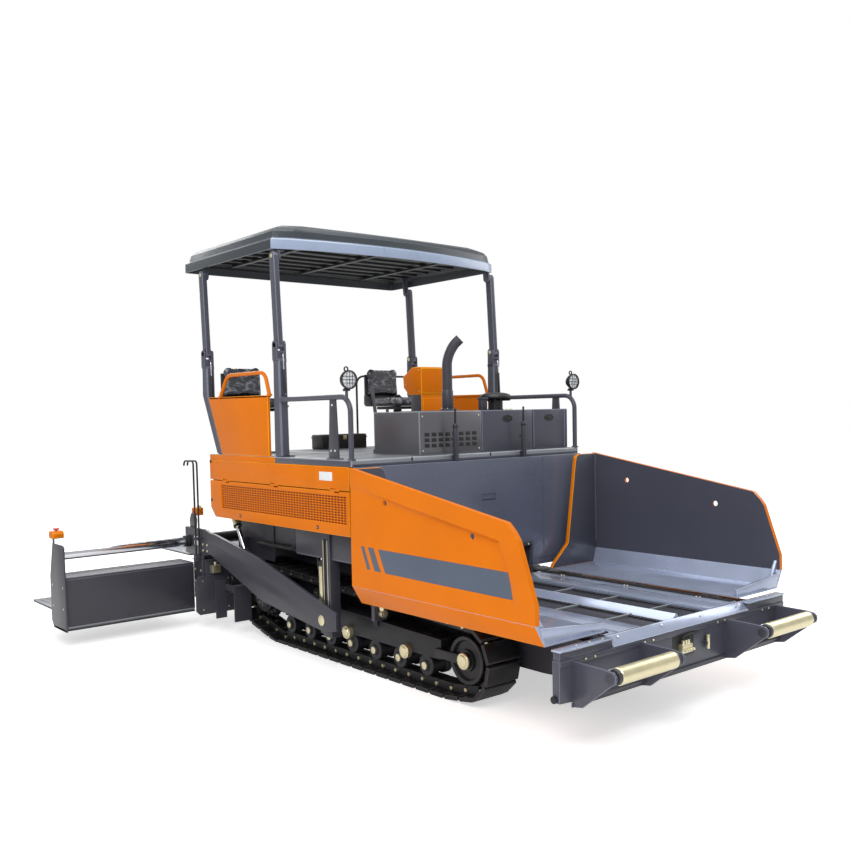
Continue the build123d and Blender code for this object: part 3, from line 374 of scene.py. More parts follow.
def ramp(tree, value, low, high):
    """Colour ramp over a value between two stops, each a position and a colour."""
    node = tree.nodes.new("ShaderNodeValToRGB")
    for stop, (position, colour) in zip(node.color_ramp.elements, (low, high)):
        stop.position = position
        stop.color = colour
    tree.links.new(value, node.inputs["Fac"])
    return node


def relief(tree, height, strength, distance, normal):
    """Bump from a height into a shader's normal."""
    node = set_inputs(tree.nodes.new("ShaderNodeBump"), Strength=strength, Distance=distance)
    tree.links.new(height, node.inputs["Height"])
    tree.links.new(node.outputs["Normal"], normal)


def finish(name, colour, shade, rough, metal=0.0, blotch=2.5, grain=90.0, bump=0.04, gloss=0.0,
           rough_spread=0.05, shine=0.5):
    """Surface with cloudy colour, uneven gloss and a fine grain, all on object coordinates."""
    material = bpy.data.materials.new(name)
    material.use_nodes = True
    tree = material.node_tree
    shader = set_inputs(
        tree.nodes["Principled BSDF"], Metallic=metal, Coat_Weight=gloss, Coat_Roughness=0.12,
        Specular_IOR_Level=shine)
    where = tree.nodes.new("ShaderNodeTexCoord").outputs["Object"]
    clouds = noise(tree, where, Scale=blotch, Detail=5.0).outputs["Fac"]
    tint = ramp(tree, clouds, (0.35, shade), (0.62, colour))
    tree.links.new(tint.outputs["Color"], shader.inputs["Base Color"])
    spread = set_inputs(tree.nodes.new("ShaderNodeMapRange"), From_Min=0.3, From_Max=0.7,
                        To_Min=max(rough - rough_spread, 0.02), To_Max=rough + rough_spread)
    tree.links.new(clouds, spread.inputs["Value"])
    tree.links.new(spread.outputs["Result"], shader.inputs["Roughness"])
    fine = noise(tree, where, Scale=grain, Detail=3.0)
    relief(tree, fine.outputs["Fac"], bump, 0.004, shader.inputs["Normal"])
    return material


def coat(slot, name, colour, rim, rough, **more):
    """Paint for a piece's faces and a lighter one for its edges: a painted highlight along the edges, with
    a little edge wear.
    """
    shade = tuple(value * 0.93 for value in colour[:3]) + (1.0,)
    rim_shade = tuple(value * 0.8 for value in rim[:3]) + (1.0,)
    return {
        "slot": slot,
        "face": finish(name, colour, shade, rough, **more),
        # edge paint: painted highlight where light catches the edges, with some wear on tracks and wheels
        "edge": finish(name + "_edge_wear_and_painted_highlight", rim, rim_shade, rough + 0.06, **more),
    }


ORANGE = coat(
    "body_orange", "orange_enamel", srgb(216, 113, 0), srgb(244, 156, 28), 0.38, bump=0.01,
    rough_spread=0.03, shine=0.12)
SLATE = coat(
    "frame_grey", "slate_enamel", srgb(72, 73, 84), srgb(106, 110, 126), 0.36, gloss=0.1, bump=0.01,
    rough_spread=0.03, shine=0.35)
DARK = coat(
    "dark_grey", "dark_slate_enamel", srgb(58, 58, 66), srgb(86, 88, 98), 0.4, gloss=0.08, bump=0.02,
    shine=0.35)
ROOFING = coat(
    "canopy_grey", "canopy_moulding", srgb(52, 58, 64), srgb(112, 124, 138), 0.4, gloss=0.08, bump=0.02,
    shine=0.35)
LINER = coat("canopy_grey", "canopy_liner", srgb(27, 28, 30), srgb(44, 46, 49), 0.5, bump=0.04)
STRIPE = coat(
    "frame_grey", "stripe_grey", srgb(80, 90, 106), srgb(80, 90, 106), 0.38, gloss=0.05, bump=0.01,
    shine=0.3)
SHOE = coat(
    "track_rubber", "track_steel", srgb(34, 34, 37), srgb(78, 78, 82), 0.45, metal=0.4, blotch=9,
    bump=0.15)
IRON = coat(
    "wheel_iron", "wheel_casting", srgb(36, 36, 40), srgb(62, 62, 68), 0.45, metal=0.3, blotch=8,
    bump=0.12)
ZINC = coat(
    "zinc", "zinc_plate", srgb(222, 213, 176), srgb(238, 232, 206), 0.34, metal=0.85, blotch=14,
    bump=0.05)
CHROME = coat(
    "chrome", "ground_chrome", srgb(214, 216, 222), srgb(232, 234, 238), 0.14, metal=1.0, bump=0.01,
    rough_spread=0.04)
PLATE = coat(
    "deck_plate", "deck_plate", srgb(140, 144, 150), srgb(190, 194, 200), 0.36, metal=0.35, blotch=6,
    bump=0.08)
GLOSSY = coat(
    "frame_grey", "hopper_plate", srgb(168, 178, 202), srgb(206, 214, 228), 0.2, metal=0.45, blotch=4,
    bump=0.04, rough_spread=0.1)
BLACK = coat("black_plastic", "black_moulding", srgb(24, 24, 26), srgb(44, 44, 47), 0.42, bump=0.06)
RUBBER = coat("black_plastic", "black_rubber", srgb(20, 20, 21), srgb(34, 34, 36), 0.6, bump=0.12)
ENGINE = coat(
    "engine_iron", "engine_casting", srgb(58, 58, 62), srgb(80, 80, 84), 0.55, metal=0.3, bump=0.3)
LABEL = coat("black_plastic", "blank_label", srgb(226, 228, 230), srgb(240, 240, 240), 0.3, bump=0.01)
WALL = coat(
    "frame_grey", "rear_wall_enamel", srgb(90, 95, 112), srgb(112, 118, 134), 0.3, gloss=0.1, bump=0.01)
HOODING = coat(
    "dark_grey", "hood_sheet", srgb(98, 98, 103), srgb(140, 142, 148), 0.34, metal=0.35, bump=0.02)
# Pale paint for the canopy's front rim: a painted reflection of the light on its front face
CANOPY_FRONT_PAINTED_REFLECTION = coat(
    "canopy_grey", "canopy_front_painted_reflection", srgb(146, 160, 184), srgb(190, 200, 216), 0.3, gloss=0.2, bump=0.01)
# Deep orange: behind the door grille it is painted shade, the dim inside seen through the holes; the
# screed's head post also takes this colour
BACKING = coat("body_orange", "grille_painted_shade_backing", srgb(150, 54, 8), srgb(150, 54, 8), 0.6, bump=0.02)
RED = coat("body_orange", "red_button", srgb(196, 22, 18), srgb(226, 60, 50), 0.3, gloss=0.4, bump=0.01)
LENS = coat(
    "black_plastic", "lamp_lens", srgb(226, 230, 234), srgb(240, 242, 244), 0.12, gloss=0.5, blotch=60,
    bump=0.02)
VINYL = coat(
    "seat_black", "seat_vinyl", srgb(38, 43, 52), srgb(52, 58, 68), 0.42, blotch=12, grain=240, bump=0.22)


def film(material):
    """Clear creased film over a finish: uneven glossy coat, with pale lines along its folds painted into
    the base colour as glints.
    """
    tree = material.node_tree
    shader = set_inputs(tree.nodes["Principled BSDF"], Coat_Weight=1.0, Coat_Roughness=0.08)
    stretch = set_inputs(tree.nodes.new("ShaderNodeMapping"), Scale=(3.0, 3.0, 7.0))
    tree.links.new(tree.nodes["Texture Coordinate"].outputs["Object"], stretch.inputs["Vector"])
    creases = noise(tree, stretch.outputs["Vector"], Scale=2.6, Detail=5.0, Distortion=1.4).outputs["Fac"]
    relief(tree, creases, 0.8, 0.02, shader.inputs["Coat Normal"])
    # pale lines in the base colour: painted highlights standing for glints on the film
    painted_glints = ramp(tree, creases, (0.52, (0, 0, 0, 1)), (0.66, (0.3, 0.3, 0.3, 1)))
    mix = set_inputs(tree.nodes.new("ShaderNodeMixRGB"), Color2=srgb(196, 206, 222))
    tree.links.new(painted_glints.outputs["Color"], mix.inputs["Fac"])
    tree.links.new(tree.nodes["Color Ramp"].outputs["Color"], mix.inputs["Color1"])
    tree.links.new(mix.outputs["Color"], shader.inputs["Base Color"])


film(VINYL["face"])
film(VINYL["edge"])


# ---------------- hopper wings
WING_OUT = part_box("hopper_wing_left")[1][1] * 1000     # outer face
WING_T = 38.0                                          # the outer wall with its folded rim
WING_X = (116.0, 2036.0)
WING_TOP = 1721.0
WING_FOOT = 825.0
WING_PIN = (776.0, 668.0)                              # y and z of the hinge line
WING_FALL = 0.168                                      # of the upper edge, towards the front
CORNER = ((1800.0, 1438.1), (1858.0, 1384.0), (1896.0, 1335.0))   # rounding of the upper front corner
RECESS = (184.0, 1723.0)                               # rear and front of the pressed recess
RECESS_DEPTH = 31.0


def wing_top(x):
    return WING_TOP - WING_FALL * (x - WING_X[0])


def wing_nose(z):
    """Front edge of the wing at a height."""
    if z < 942:
        return WING_X[1]
    return WING_X[1] - (z - 942) * (WING_X[1] - CORNER[2][0]) / (CORNER[2][1] - 942)


def band_under(x):
    """Lower edge of the smooth band along the top."""
    return wing_top(x) - 129


def band_behind(z):
    """Rear edge of the smooth band along the front."""
    return wing_nose(z) - 160 - 0.08 * max(z - 1132, 0)


def recess(x, z):
    """How far the outer face is pressed in at a place."""
    below = band_under(x) - z
    behind = band_behind(z) - x
    if below <= 0 or behind <= 0:
        return 0.0
    lead = min(max((x - RECESS[0]) / 620, 0.0), 1.0)
    lead = lead * lead * (3 - 2 * lead)
    fade = max(1 - below / 470, 0.0)
    return RECESS_DEPTH * min(below / 16, 1.0) * min(behind / 22, 1.0) * fade * (0.22 + 0.78 * lead)


def wing_point(u, v):
    """Place on the wing's side: u from rear to front, v upwards; over 1 is the smooth band."""
    def inner(u, v):
        x = WING_X[0] + u * 1600
        z = 1200.0
        for _ in range(8):
            z = WING_FOOT + v * (band_under(x) - WING_FOOT)
            x = WING_X[0] + u * (band_behind(z) - WING_X[0])
        return Vector((x, z))

    def top(u):
        x = WING_X[0] + u * (CORNER[0][0] - WING_X[0])
        return Vector((x, wing_top(x)))

    def front(v):
        z = WING_FOOT + v * (CORNER[2][1] - WING_FOOT)
        return Vector((wing_nose(z), z))

    if u <= 1 and v <= 1:
        return inner(u, v)
    if u <= 1:
        return inner(u, 1).lerp(top(u), v - 1)
    if v <= 1:
        return inner(1, v).lerp(front(v), u - 1)
    low = inner(1, 1).lerp(front(1), u - 1)
    high = top(1).lerp(Vector(CORNER[1]), u - 1)
    return low.lerp(high, v - 1)


def wing_wall():
    """Outer wall: a pressed skin with a smooth band round its top and front, and a flat back."""
    columns = [i / 44 for i in range(44)] + [0.988, 1.0, 1.25, 1.6, 2.0]
    rows = [0.0, 0.12, 0.24, 0.34] + [0.4 + i * 0.058 for i in range(10)]
    rows += [0.96, 0.982, 1.0, 1.3, 1.7, 2.0]
    rest()
    bpy.ops.mesh.primitive_grid_add(x_subdivisions=len(columns) - 1, y_subdivisions=len(rows) - 1, size=1)
    piece = settle(named("wing_wall", ORANGE))
    for vert in piece.data.vertices:
        u = columns[round((vert.co.x + 0.5) * (len(columns) - 1))]
        v = rows[round((vert.co.y + 0.5) * (len(rows) - 1))]
        spot = wing_point(u, v)
        vert.co = at(spot.x, WING_OUT - recess(spot.x, spot.y), spot.y)
    pick(piece)
    bpy.ops.object.mode_set(mode="EDIT")
    bpy.ops.mesh.select_mode(type="EDGE")
    bpy.ops.mesh.select_all(action="DESELECT")
    bpy.ops.mesh.select_non_manifold()
    bpy.ops.mesh.extrude_region_move(TRANSFORM_OT_translate={"value": (0, -WING_T / 1000, 0)})
    bpy.ops.mesh.edge_face_add()
    bpy.ops.mesh.select_mode(type="VERT")
    outwards(piece)
    for x, z in ((523, 1477), (1451, 1320)):
        cut(piece, cross("hole", x, z, (WING_OUT - 90, WING_OUT + 30), 22, SLATE, 0))
    repaint(piece, SLATE, lambda middle, normal: normal.y < -0.9)
    return soften(piece, 4, 2, 70)


def wing_tray():
    """Bottom of a wing: flat floor, chamfer up to the wall, and the fold of its front edge."""
    floor = 685
    inner = WING_OUT - WING_T
    outline = [
        (766, floor), (1325, floor), (WING_OUT, WING_FOOT), (inner, WING_FOOT + 4), (1325, floor + 14),
        (766, floor + 14)]
    piece = plate("wing_tray", "yz", outline, WING_X, ORANGE, 3)
    repaint(piece, GLOSSY, lambda middle, normal: normal.z > -0.15 or abs(normal.x) > 0.4)
    return piece


def wing_ends():
    """Rear plate with its rounded upper corner, and the low sloping plate at the front."""
    floor = 699
    inner = WING_OUT - WING_T
    x = WING_X[0]
    rear = plate(
        "wing_rear_plate", "yz",
        [
            (766, floor), (780, 729), (976, 900), (984, 916), (1092, 1640), (1104, 1688), (1124, 1708),
            (1150, 1715), (inner, 1715), (inner, WING_FOOT), (1325, floor)],
        (x, x + WING_T), ORANGE, 5, 3)
    repaint(rear, SLATE, lambda middle, normal: abs(normal.x) > 0.9)
    boss = cross_x("eye_boss", (x - 8, x + 1), 1180, 1180, 30, DARK)
    front = plate("wing_front_plate", "yz", [
        (766, floor), (766, 750), (1361, 806), (1325, floor)], (WING_X[1] - 26, WING_X[1]), GLOSSY, 3)
    weld = upright("weld", x + WING_T, inner - 3, (900, 1700), 7, SLATE, 2, 12)
    rib = plate("wing_rib", "yz", [(1325, floor), (inner, WING_FOOT), (inner, 900), (1240, floor)],
                (1985, 2010), GLOSSY, 2)
    return joined("wing_plates", rear, boss, front, weld, rib)


def wing_knuckles():
    """Hinge knuckles and the gussets that tie them to the wing's floor."""
    pieces = []
    for x in (395, 1095, 1795):
        pieces += [
            cross_x("knuckle", (x, x + 90), *WING_PIN, 14, DARK, 1.5),
            block("gusset", (x, x + 90), (767, 789), (672, 687), DARK, 1),
        ]
    return joined("wing_knuckles", pieces)


def stripe_patch(name, corners, across, along):
    """Flat decal that follows the wing's pressed face, given by its corners from the lower rear."""
    rest()
    bpy.ops.mesh.primitive_grid_add(x_subdivisions=along, y_subdivisions=across, size=1)
    piece = settle(named(name, STRIPE))
    low_rear, low_front, high_front, high_rear = [Vector(corner) for corner in corners]
    for vert in piece.data.vertices:
        u = vert.co.x + 0.5
        v = vert.co.y + 0.5
        spot = low_rear.lerp(low_front, u).lerp(high_rear.lerp(high_front, u), v)
        vert.co = at(spot.x, WING_OUT - recess(spot.x, spot.y) + 0.9, spot.y)
    return smooth(applied(flipped(piece), "SOLIDIFY", thickness=0.0008, offset=-1))


def wing_stripe():
    """Grey band along the wing with two plain slashes behind it."""
    return joined(
        "wing_stripe",
        stripe_patch("slash_rear", ((319, 972), (357, 983), (282, 1143), (243, 1145)), 4, 2),
        stripe_patch("slash_front", ((410, 974), (486, 974), (398, 1141), (330, 1143)), 4, 3),
        stripe_patch("band", ((538, 972), (1839, 959), (1799, 1125), (454, 1139)), 6, 48),
    )


def make_wings():
    body = "wing_*"
    place_pair(wing_wall(), body, "hopper_wing_*")
    place_pair(wing_tray(), body)
    place_pair(wing_knuckles(), body)
    place_pair(wing_ends(), body, "wing_end_plates_*")
    place_pair(wing_stripe(), body)


# ---------------- hopper floor, front lip and rear wall
def make_hopper_floor():
    """Glossy side plates, peaked centre guard, conveyor with chains and slats, hinge gutter and strips."""
    top = 668
    base = 611
    front = WING_X[1]
    sides = [block("floor_plate", (44, front), (404, 618), (base, top), GLOSSY, 3)]
    gutter = [
        (750, 628), (800, 628), (800, 644), (935, 644), (935, 652), (792, 652), (792, 636), (750, 636)]
    sides += [
        plate("hinge_gutter", "yz", gutter, (130, front), DARK, 1),
        block("hinge_flat", (44, front), (618, 757), (top - 12, top), GLOSSY, 2),
    ]
    for x in (300, 1000, 1700):
        sides += [
            cross_x("carrier", (x, x + 90), *WING_PIN, 14, DARK, 1.5),
            block("carrier_web", (x, x + 90), (757, 776), (top - 12, top), DARK, 1),
            cross_x("hinge_pin", (x + 90, x + 186), *WING_PIN, 6, ZINC, 1),
            bolts("flat_bolts", [at(x + 30, 690, top), at(x + 60, 690, top)], UP, ZINC, 9, 6),
        ]
    half = joined("hopper_floor_plates", sides)
    place_pair(half, "machine")

    ridge = plate(
        "conveyor_guard", "yz", [(-60, base), (60, base), (58, 640), (6, 690), (-6, 690), (-58, 640)],
        (44, front), GLOSSY, 3)
    place(ridge, "machine", "hopper_floor")

    floor = block("conveyor_plate", (44, front - 20), (62, 402), (base + 8, base + 22), DARK, 2)
    place_pair(floor, "machine")
    link = block("chain_link", (-26, 26), (74, 108), (base + 22, base + 34), SHOE, 4)
    links = joined("conveyor_chain", link, moved(link, "chain_link", (0, 282, 0)))
    links.data.transform(Matrix.Translation(at(80, 0, 0) - at(0, 0, 0)))
    place_pair(row_of(links, 34, (58, 0, 0), "conveyor_chains"), "machine")
    bar = block("slat", (250, 264), (66, 398), (base + 22, base + 42), PLATE, 3)
    place_pair(row_of(bar, 4, (480, 0, 0), "conveyor_slats"), "machine")

    strip = block("hinge_rubber", (60, front - 20), (700, 722), (top + 0.2, top + 9), RUBBER, 3)
    strips = joined("hinge_rubbers", strip, moved(strip, "hinge_rubber", (0, 29, 0)))
    place_pair(strips, "machine")


def make_rear_wall():
    """Hopper's rear wall with its door line, slot handle, folded top and tunnel mouth."""
    x = (0, 40)
    skin = plate(
        "rear_wall_skin", "yz",
        [
            (-620, 920), (620, 920), (620, 730), (1290, 730), (1290, 1716), (-1290, 1716), (-1290, 730),
            (-620, 730)],
        x, WALL, 4)
    cut(skin,
        block("handle_slot", (34, 60), (13, 182), (1364, 1417), WALL, 0),
        block("door_line", (37.5, 60), (770, 776), (740, 1700), BLACK, 0),
        block("door_line_low", (37.5, 60), (628, 1280), (785, 791), BLACK, 0))
    handle = block("slot_lip", (35, 41), (18, 177), (1364, 1372), BLACK, 1)
    flange = block("tunnel_flange", (40, 52), (-612, 612), (921, 948), DARK, 2)
    pieces = [skin, handle, flange]
    for side in (-1, 1):
        pieces += [
            block("rear_wall_leg", x, sorted((side * 1026, side * 1150)), (500, 731), DARK, 3),
            cross_x("wing_pin", (40, 98), side * 1090, 560, 15, ZINC, 2),
            block("mouth_cheek", (40, 47), sorted((side * 598, side * 620)), (650, 921), DARK, 2),
        ]
    pieces.append(bolts("flange_bolts", [at(52, y, 934) for y in range(-560, 600, 160)], AHEAD, ZINC, 9, 7))
    place(joined("hopper_rear_wall_skin", pieces), "machine", "hopper_rear_wall")


# ---------------- front beam and push rollers
BEAM_X = (2055, 2115)
BEAM_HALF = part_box("front_bumper")[1][1] * 1000
ROLLER = (2411, 537)
ROLLER_Y = (518, 1139)


def make_front_beam():
    """Cross beam with its sloping apron, flanges, corner pins, valves and roller brackets."""
    x0, x1 = BEAM_X
    beam = plate("front_beam_box", "yz", [
        (-BEAM_HALF, 340), (-700, 297), (700, 297), (BEAM_HALF, 340), (BEAM_HALF, 600), (-BEAM_HALF, 600)],
        BEAM_X, SLATE, 4)
    pieces = [
        beam,
        block("beam_foot", (x1 - 1, x1 + 8), (-1180, 1180), (300, 330), DARK, 2),
        block("beam_rail", (x1 - 1, x1 + 6), (-1278, 1278), (566, 600), SLATE, 2),
    ]
    apron = [(x0 - 8, 600), (x0 - 8, 667), (x0 + 8, 668), (x1 + 10, 609), (x1, 600)]
    pieces.append(plate("apron", "xz", apron, (-780, 780), GLOSSY, 3))
    for low, high in ((-BEAM_HALF + 2, -783), (783, BEAM_HALF - 2)):
        pieces += [
            block("lip_flange", (x0 - 8, x1 + 10), (low, high), (655, 667), GLOSSY, 2),
            block("lip_riser", (x0 + 4, x1), (low + 4, high - 4), (598, 656), SLATE, 2),
        ]
        spots = [at(x0 + 30, low + 60 + step * 126, 667) for step in range(4)]
        pieces.append(bolts("flange_bolts", spots, UP, ZINC, 8, 5))
    spots = [at(x0 + 34, y, 655.5) for y in (-700, -236, 236, 700)]
    pieces.append(bolts("lip_bolts", spots, (0.63, 0, 0.78), LABEL, 10, 6))
    for y in ((-BEAM_HALF - 16, -BEAM_HALF + 4), (BEAM_HALF - 4, BEAM_HALF + 16)):
        pieces.append(cross("corner_pin", x0 + 20, 362, y, 24, RUBBER, 3))
    for y in (-1010, -420, 420, 1010):
        spots = [at(x1 + 7, y + dy, 583) for dy in (-45, 45)]
        pieces.append(bolts("rail_bolts", spots, AHEAD, ZINC, 9, 7))
    place(joined("front_beam", pieces), "machine", "front_bumper")

    bracket = roller_bracket()
    place_pair(bracket, "machine")
    place(front_valves(), "machine")


def roller_bracket():
    """Pair of wedge plates that hold one push roller, with their stays and pins."""
    x1 = BEAM_X[1]
    rx, rz = ROLLER
    outline = [
        (x1, 300), (2194, 313), (2419, 491), (rx + 36, 506), (rx + 46, 530), (rx + 44, 556),
        (rx + 22, 578), (rx - 40, 585), (x1, 590)]
    pieces = []
    for y in ((ROLLER_Y[0] - 34, ROLLER_Y[0] - 14), (ROLLER_Y[1] + 14, ROLLER_Y[1] + 34)):
        pieces += [
            plate("wedge", "xz", outline, y, SLATE, 3),
            cross("bearing", rx, rz, (y[0] - 5, y[1] + 5), 34, DARK, 2),
        ]
    y = (ROLLER_Y[0] - 14, ROLLER_Y[1] + 14)
    pieces += [
        cross("front_stay", rx - 62, 560, y, 9, CHROME, 1, 16),
        cross("lower_stay", x1 + 40, 350, y, 14, DARK, 1, 16),
    ]
    return joined("roller_bracket", pieces)


def front_valves():
    """Valve block and plated fittings in the bay behind the beam's middle."""
    x = BEAM_X[1]
    pieces = [
        block("valve_block", (x, x + 40), (-88, 30), (440, 500), ZINC, 4),
        block("valve_bay", (x - 2, x + 3), (-150, 90), (405, 562), BLACK, 2),
    ]
    for y in (-70, -38, -6, 20):
        pieces.append(cross_x("front_fitting", (x + 38, x + 62), y, 462, 10, ZINC, 2, 6))
    for y in (-70, -38, -8):
        pieces += [
            upright("fitting", x + 30, y, (498, 530), 11, ZINC, 2, 12),
            pipe("hose", [at(x + 30, y, 528), at(x + 30, y, 556), at(x + 18, y + 90, 560),
                          at(x + 4, y + 150, 556)], 6, RUBBER, 16, 4),
        ]
    pieces += [
        upright("coupling", x + 22, 236, (420, 520), 14, ZINC, 2, 16),
        block("coupling_clamp", (x, x + 30), (214, 258), (446, 476), DARK, 3),
    ]
    return joined("front_valves", pieces)


def make_push_rollers():
    """Plated push roller with dark caps and a stepped shaft."""
    rx, rz = ROLLER
    y0, y1 = ROLLER_Y
    profile = [(0, y0), (20, y0), (20, y0 + 6), (46, y0 + 7), (50, y0 + 12), (50, y0 + 34), (55, y0 + 40),
               (55, y1 - 40), (50, y1 - 34), (50, y1 - 12), (46, y1 - 7), (20, y1 - 6), (20, y1), (0, y1)]
    roller = turned("push_roller_shell", at(rx, 0, rz), ACROSS, profile, ZINC, 48)
    repaint(roller, DARK, lambda middle, normal: not y0 + 37 < middle.y * 1000 < y1 - 37)
    place_pair(roller, "roller_*", "push_roller_*")


def make_wing_cylinders():
    """Collars, seals and hose ends on the cylinders that lift the wings."""
    base = Vector((1090, 560))
    eye = Vector((1180, 1180))
    way = (eye - base).normalized()

    def along(distance):
        spot = base + way * distance
        return at(74, spot.x, spot.y)

    barrel = joined("wing_barrel_fittings",
                    rod("gland", along(496), along(521), 27, BLACK, 2),
                    cross_x("port", (98, 112), *(base + way * 110), 9, ZINC, 1, 12),
                    rod("base_ring", along(40), along(52), 26, ZINC, 1))
    place_pair(barrel, "wing_barrel_*")


# ---------------- side doors and panels
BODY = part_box("side_panels")[1][1] * 1000              # outer face of the side panels
BODY_X = (-2380.0, -40.0)
DOOR_Z = (1172.0, 1520.0)
DECK_Z = 1772.0
GRILLE_X = (-2155.0, -87.0)
GRILLE_Z = (1262.0, 1487.0)
GRILLE_COUNT = (47, 11)
DOOR_HINGES = (-2120.0, -1240.0, -300.0)
DOOR_PIN = (BODY - 4, 1527.0)           # y and z of the doors' hinge line
KNUCKLE_R = 9.0


def grille(y):
    """Perforated sheet: one cell with an oblong hole, repeated along and up."""
    pitch_x = (GRILLE_X[1] - GRILLE_X[0]) / GRILLE_COUNT[0]
    pitch_z = (GRILLE_Z[1] - GRILLE_Z[0]) / GRILLE_COUNT[1]
    x = GRILLE_X[0]
    z = GRILLE_Z[0]
    corners = [at(x, y, z), at(x + pitch_x, y, z), at(x + pitch_x, y, z + pitch_z), at(x, y, z + pitch_z)]
    cell = chain("door_grille", corners, ORANGE)
    bpy.ops.mesh.edge_face_add()
    bpy.ops.mesh.inset(thickness=pitch_z * 0.2 / 1000)
    bpy.ops.mesh.bevel(offset=pitch_z * 0.24 / 1000, segments=2, affect="VERTICES")
    bpy.ops.mesh.select_mode(type="FACE")
    bpy.ops.mesh.select_all(action="DESELECT")
    mesh = bmesh.from_edit_mesh(cell.data)
    max(mesh.faces, key=lambda face: len(face.verts)).select = True
    bmesh.update_edit_mesh(cell.data)
    bpy.ops.mesh.delete(type="FACE")
    bpy.ops.mesh.select_mode(type="VERT")
    rest()
    row_of(cell, GRILLE_COUNT[0], (pitch_x, 0, 0), "door_grille")
    row_of(cell, GRILLE_COUNT[1], (0, 0, pitch_z), "door_grille")
    outwards(cell)
    applied(cell, "SOLIDIFY", thickness=0.003, offset=0)
    return cell


def make_side_doors():
    """Side door: folded frame round its perforated sheet, seam, hinges, latch and rubber stop."""
    x0, x1 = BODY_X
    low, top = DOOR_Z
    outer = [(x0, top), (x0, low + 88), (x0 + 14, low + 74), (x0 + 76, low + 12), (x0 + 90, low),
             (x1 - 8, low), (x1, low + 8), (x1, top)]
    door = plate("side_door_frame", "xz", outer, (BODY - 20, BODY), ORANGE, 3)
    gx = (GRILLE_X[0] - 2, GRILLE_X[1] + 2)
    gz = (GRILLE_Z[0] - 2, GRILLE_Z[1] + 2)
    cut(door, block("grille_opening", gx, (BODY - 60, BODY + 30), gz, ORANGE, 0))
    cut(door, *[block("knuckle_relief", (x + 60, x + 124), (BODY - 19, BODY + 6), (1508, 1530), ORANGE, 0)
                for x in DOOR_HINGES])
    rims = [
        block("grille_bead", gx, (BODY - 5, BODY - 1), (gz[0] - 5, gz[0] + 3), ORANGE, 1.5),
        block("grille_bead", gx, (BODY - 5, BODY - 1), (gz[1] - 3, gz[1] + 5), ORANGE, 1.5),
        # Sheet behind the holes: painted shade standing for the dim inside seen through the grille
        block("grille_painted_shade_backing", gx, (BODY - 19, BODY - 17), gz, BACKING, 0),
    ]
    hinges = []
    for x in DOOR_HINGES:
        hinges += [
            cross_x("door_knuckle", (x, x + 60), *DOOR_PIN, KNUCKLE_R, ORANGE, 1.0, 24),
            block("door_leaf", (x, x + 60), (BODY - 12, BODY - 1), (1500, 1522), ORANGE, 1.5),
        ]
    latches = []
    for x in (-1800, -500):
        latches += [
            cross("latch", x, 1215, (BODY - 6, BODY + 3), 17, BLACK, 2),
            block("latch_slot", about(x, 10), (BODY + 2, BODY + 5), (1213, 1217), ZINC, 0.5),
        ]
    stop = cross("door_stop", x0 + 20, 1330, (BODY - 20, BODY + 4), 16, RUBBER, 3)
    door = joined("side_door_panel", door, grille(BODY - 6), rims, hinges, latches, stop)
    place_pair(door, "door_*", "side_door_*")


def make_side_panels():
    """Fixed strip over each door with its hinge knuckles, seam flange, marker and a blank plate."""
    x0, x1 = BODY_X
    strip = block("side_strip", (x0, x1), (BODY - 38, BODY), (1530, 1716), ORANGE, 4)
    room = [block("knuckle_room", (x - 2, x + 62), (BODY - 20, BODY + 9), (1520, 1542), ORANGE, 0)
            for x in DOOR_HINGES]
    cut(strip, *room)
    pieces = [strip]
    for x in DOOR_HINGES:
        pieces += [
            cross_x("strip_knuckle", (x + 62, x + 122), *DOOR_PIN, KNUCKLE_R, ORANGE, 1.0, 24),
            cross_x("hinge_pin", (x + 1, x + 122), *DOOR_PIN, 4, ZINC, 0.5, 24),
        ]
    pieces += [
        block("blank_plate", (-457, -269), (BODY, BODY + 1.5), (1601, 1671), LABEL, 1),
        block("seam_flange", (x0 + 4, x1 - 4), (BODY - 38, BODY - 30), (1508, 1532), ORANGE, 1),
        cross("rear_marker", x0 + 22, 1700, (BODY - 8, BODY + 6), 15, RUBBER, 3),
    ]
    spots = [at(x, BODY, 1696) for x in range(-2220, -60, 320)]
    pieces.append(bolts("strip_bolts", spots, ACROSS, ORANGE, 8, 4))
    place_pair(joined("side_panel_strip", pieces), "machine", "side_panels")


def make_engine_bay_details():
    """Radiator louvres, hoses and tanks that show under the deck and above the tracks."""
    pieces = []
    for number in range(9):
        z = 960 + number * 62
        slat = plate(
            "louvre", "yz", [(-700, z), (-700, z + 8), (700, z + 8), (700, z)], (-2332, -2318), DARK, 2)
        pieces.append(slat)
    tank = block("oil_tank", (-1060, -80), (1012, 1180), (925, 1160), DARK, 18)
    pieces += [tank, other_side(tank, "fuel_tank")]
    cap = upright("tank_cap", -300, 1096, (1158, 1176), 42, BLACK, 5)
    pieces.append(cap)
    cheek = block("rear_cheek", (-2378, -1700), (1012, 1024), (770, 1180), DARK, 3)
    apron = block("rear_apron", (-2382, -2374), (630, 1012), (760, 1000), DARK, 3)
    pieces += [cheek, other_side(cheek, "rear_cheek"), apron, other_side(apron, "rear_apron")]
    for y in (1040, 1075):
        pieces += [
            pipe("feed_hose", [at(-1900, y, 930), at(-1300, y, 930), at(-1200, y, 1000),
                               at(-1062, y, 1000)], 13, RUBBER, 50),
            pipe("return_hose", [at(-1900, -y, 930), at(-1300, -y, 930), at(-1200, -y, 1000),
                                 at(-1062, -y, 1000)], 13, RUBBER, 50),
        ]
    place(joined("engine_bay_details", pieces), "machine")


# ---------------- posts and canopy
POST_Y = (1215.0, 1300.0)
LINK_Y = (1240.0, 1290.0)
FRONT_PIVOT = (-1100.0, 2730.0)
REAR_PIVOT = (-2440.0, 2730.0)
LINK_LEAN = -40.0
LINK_H = 760.0
PIN_R = 18.0


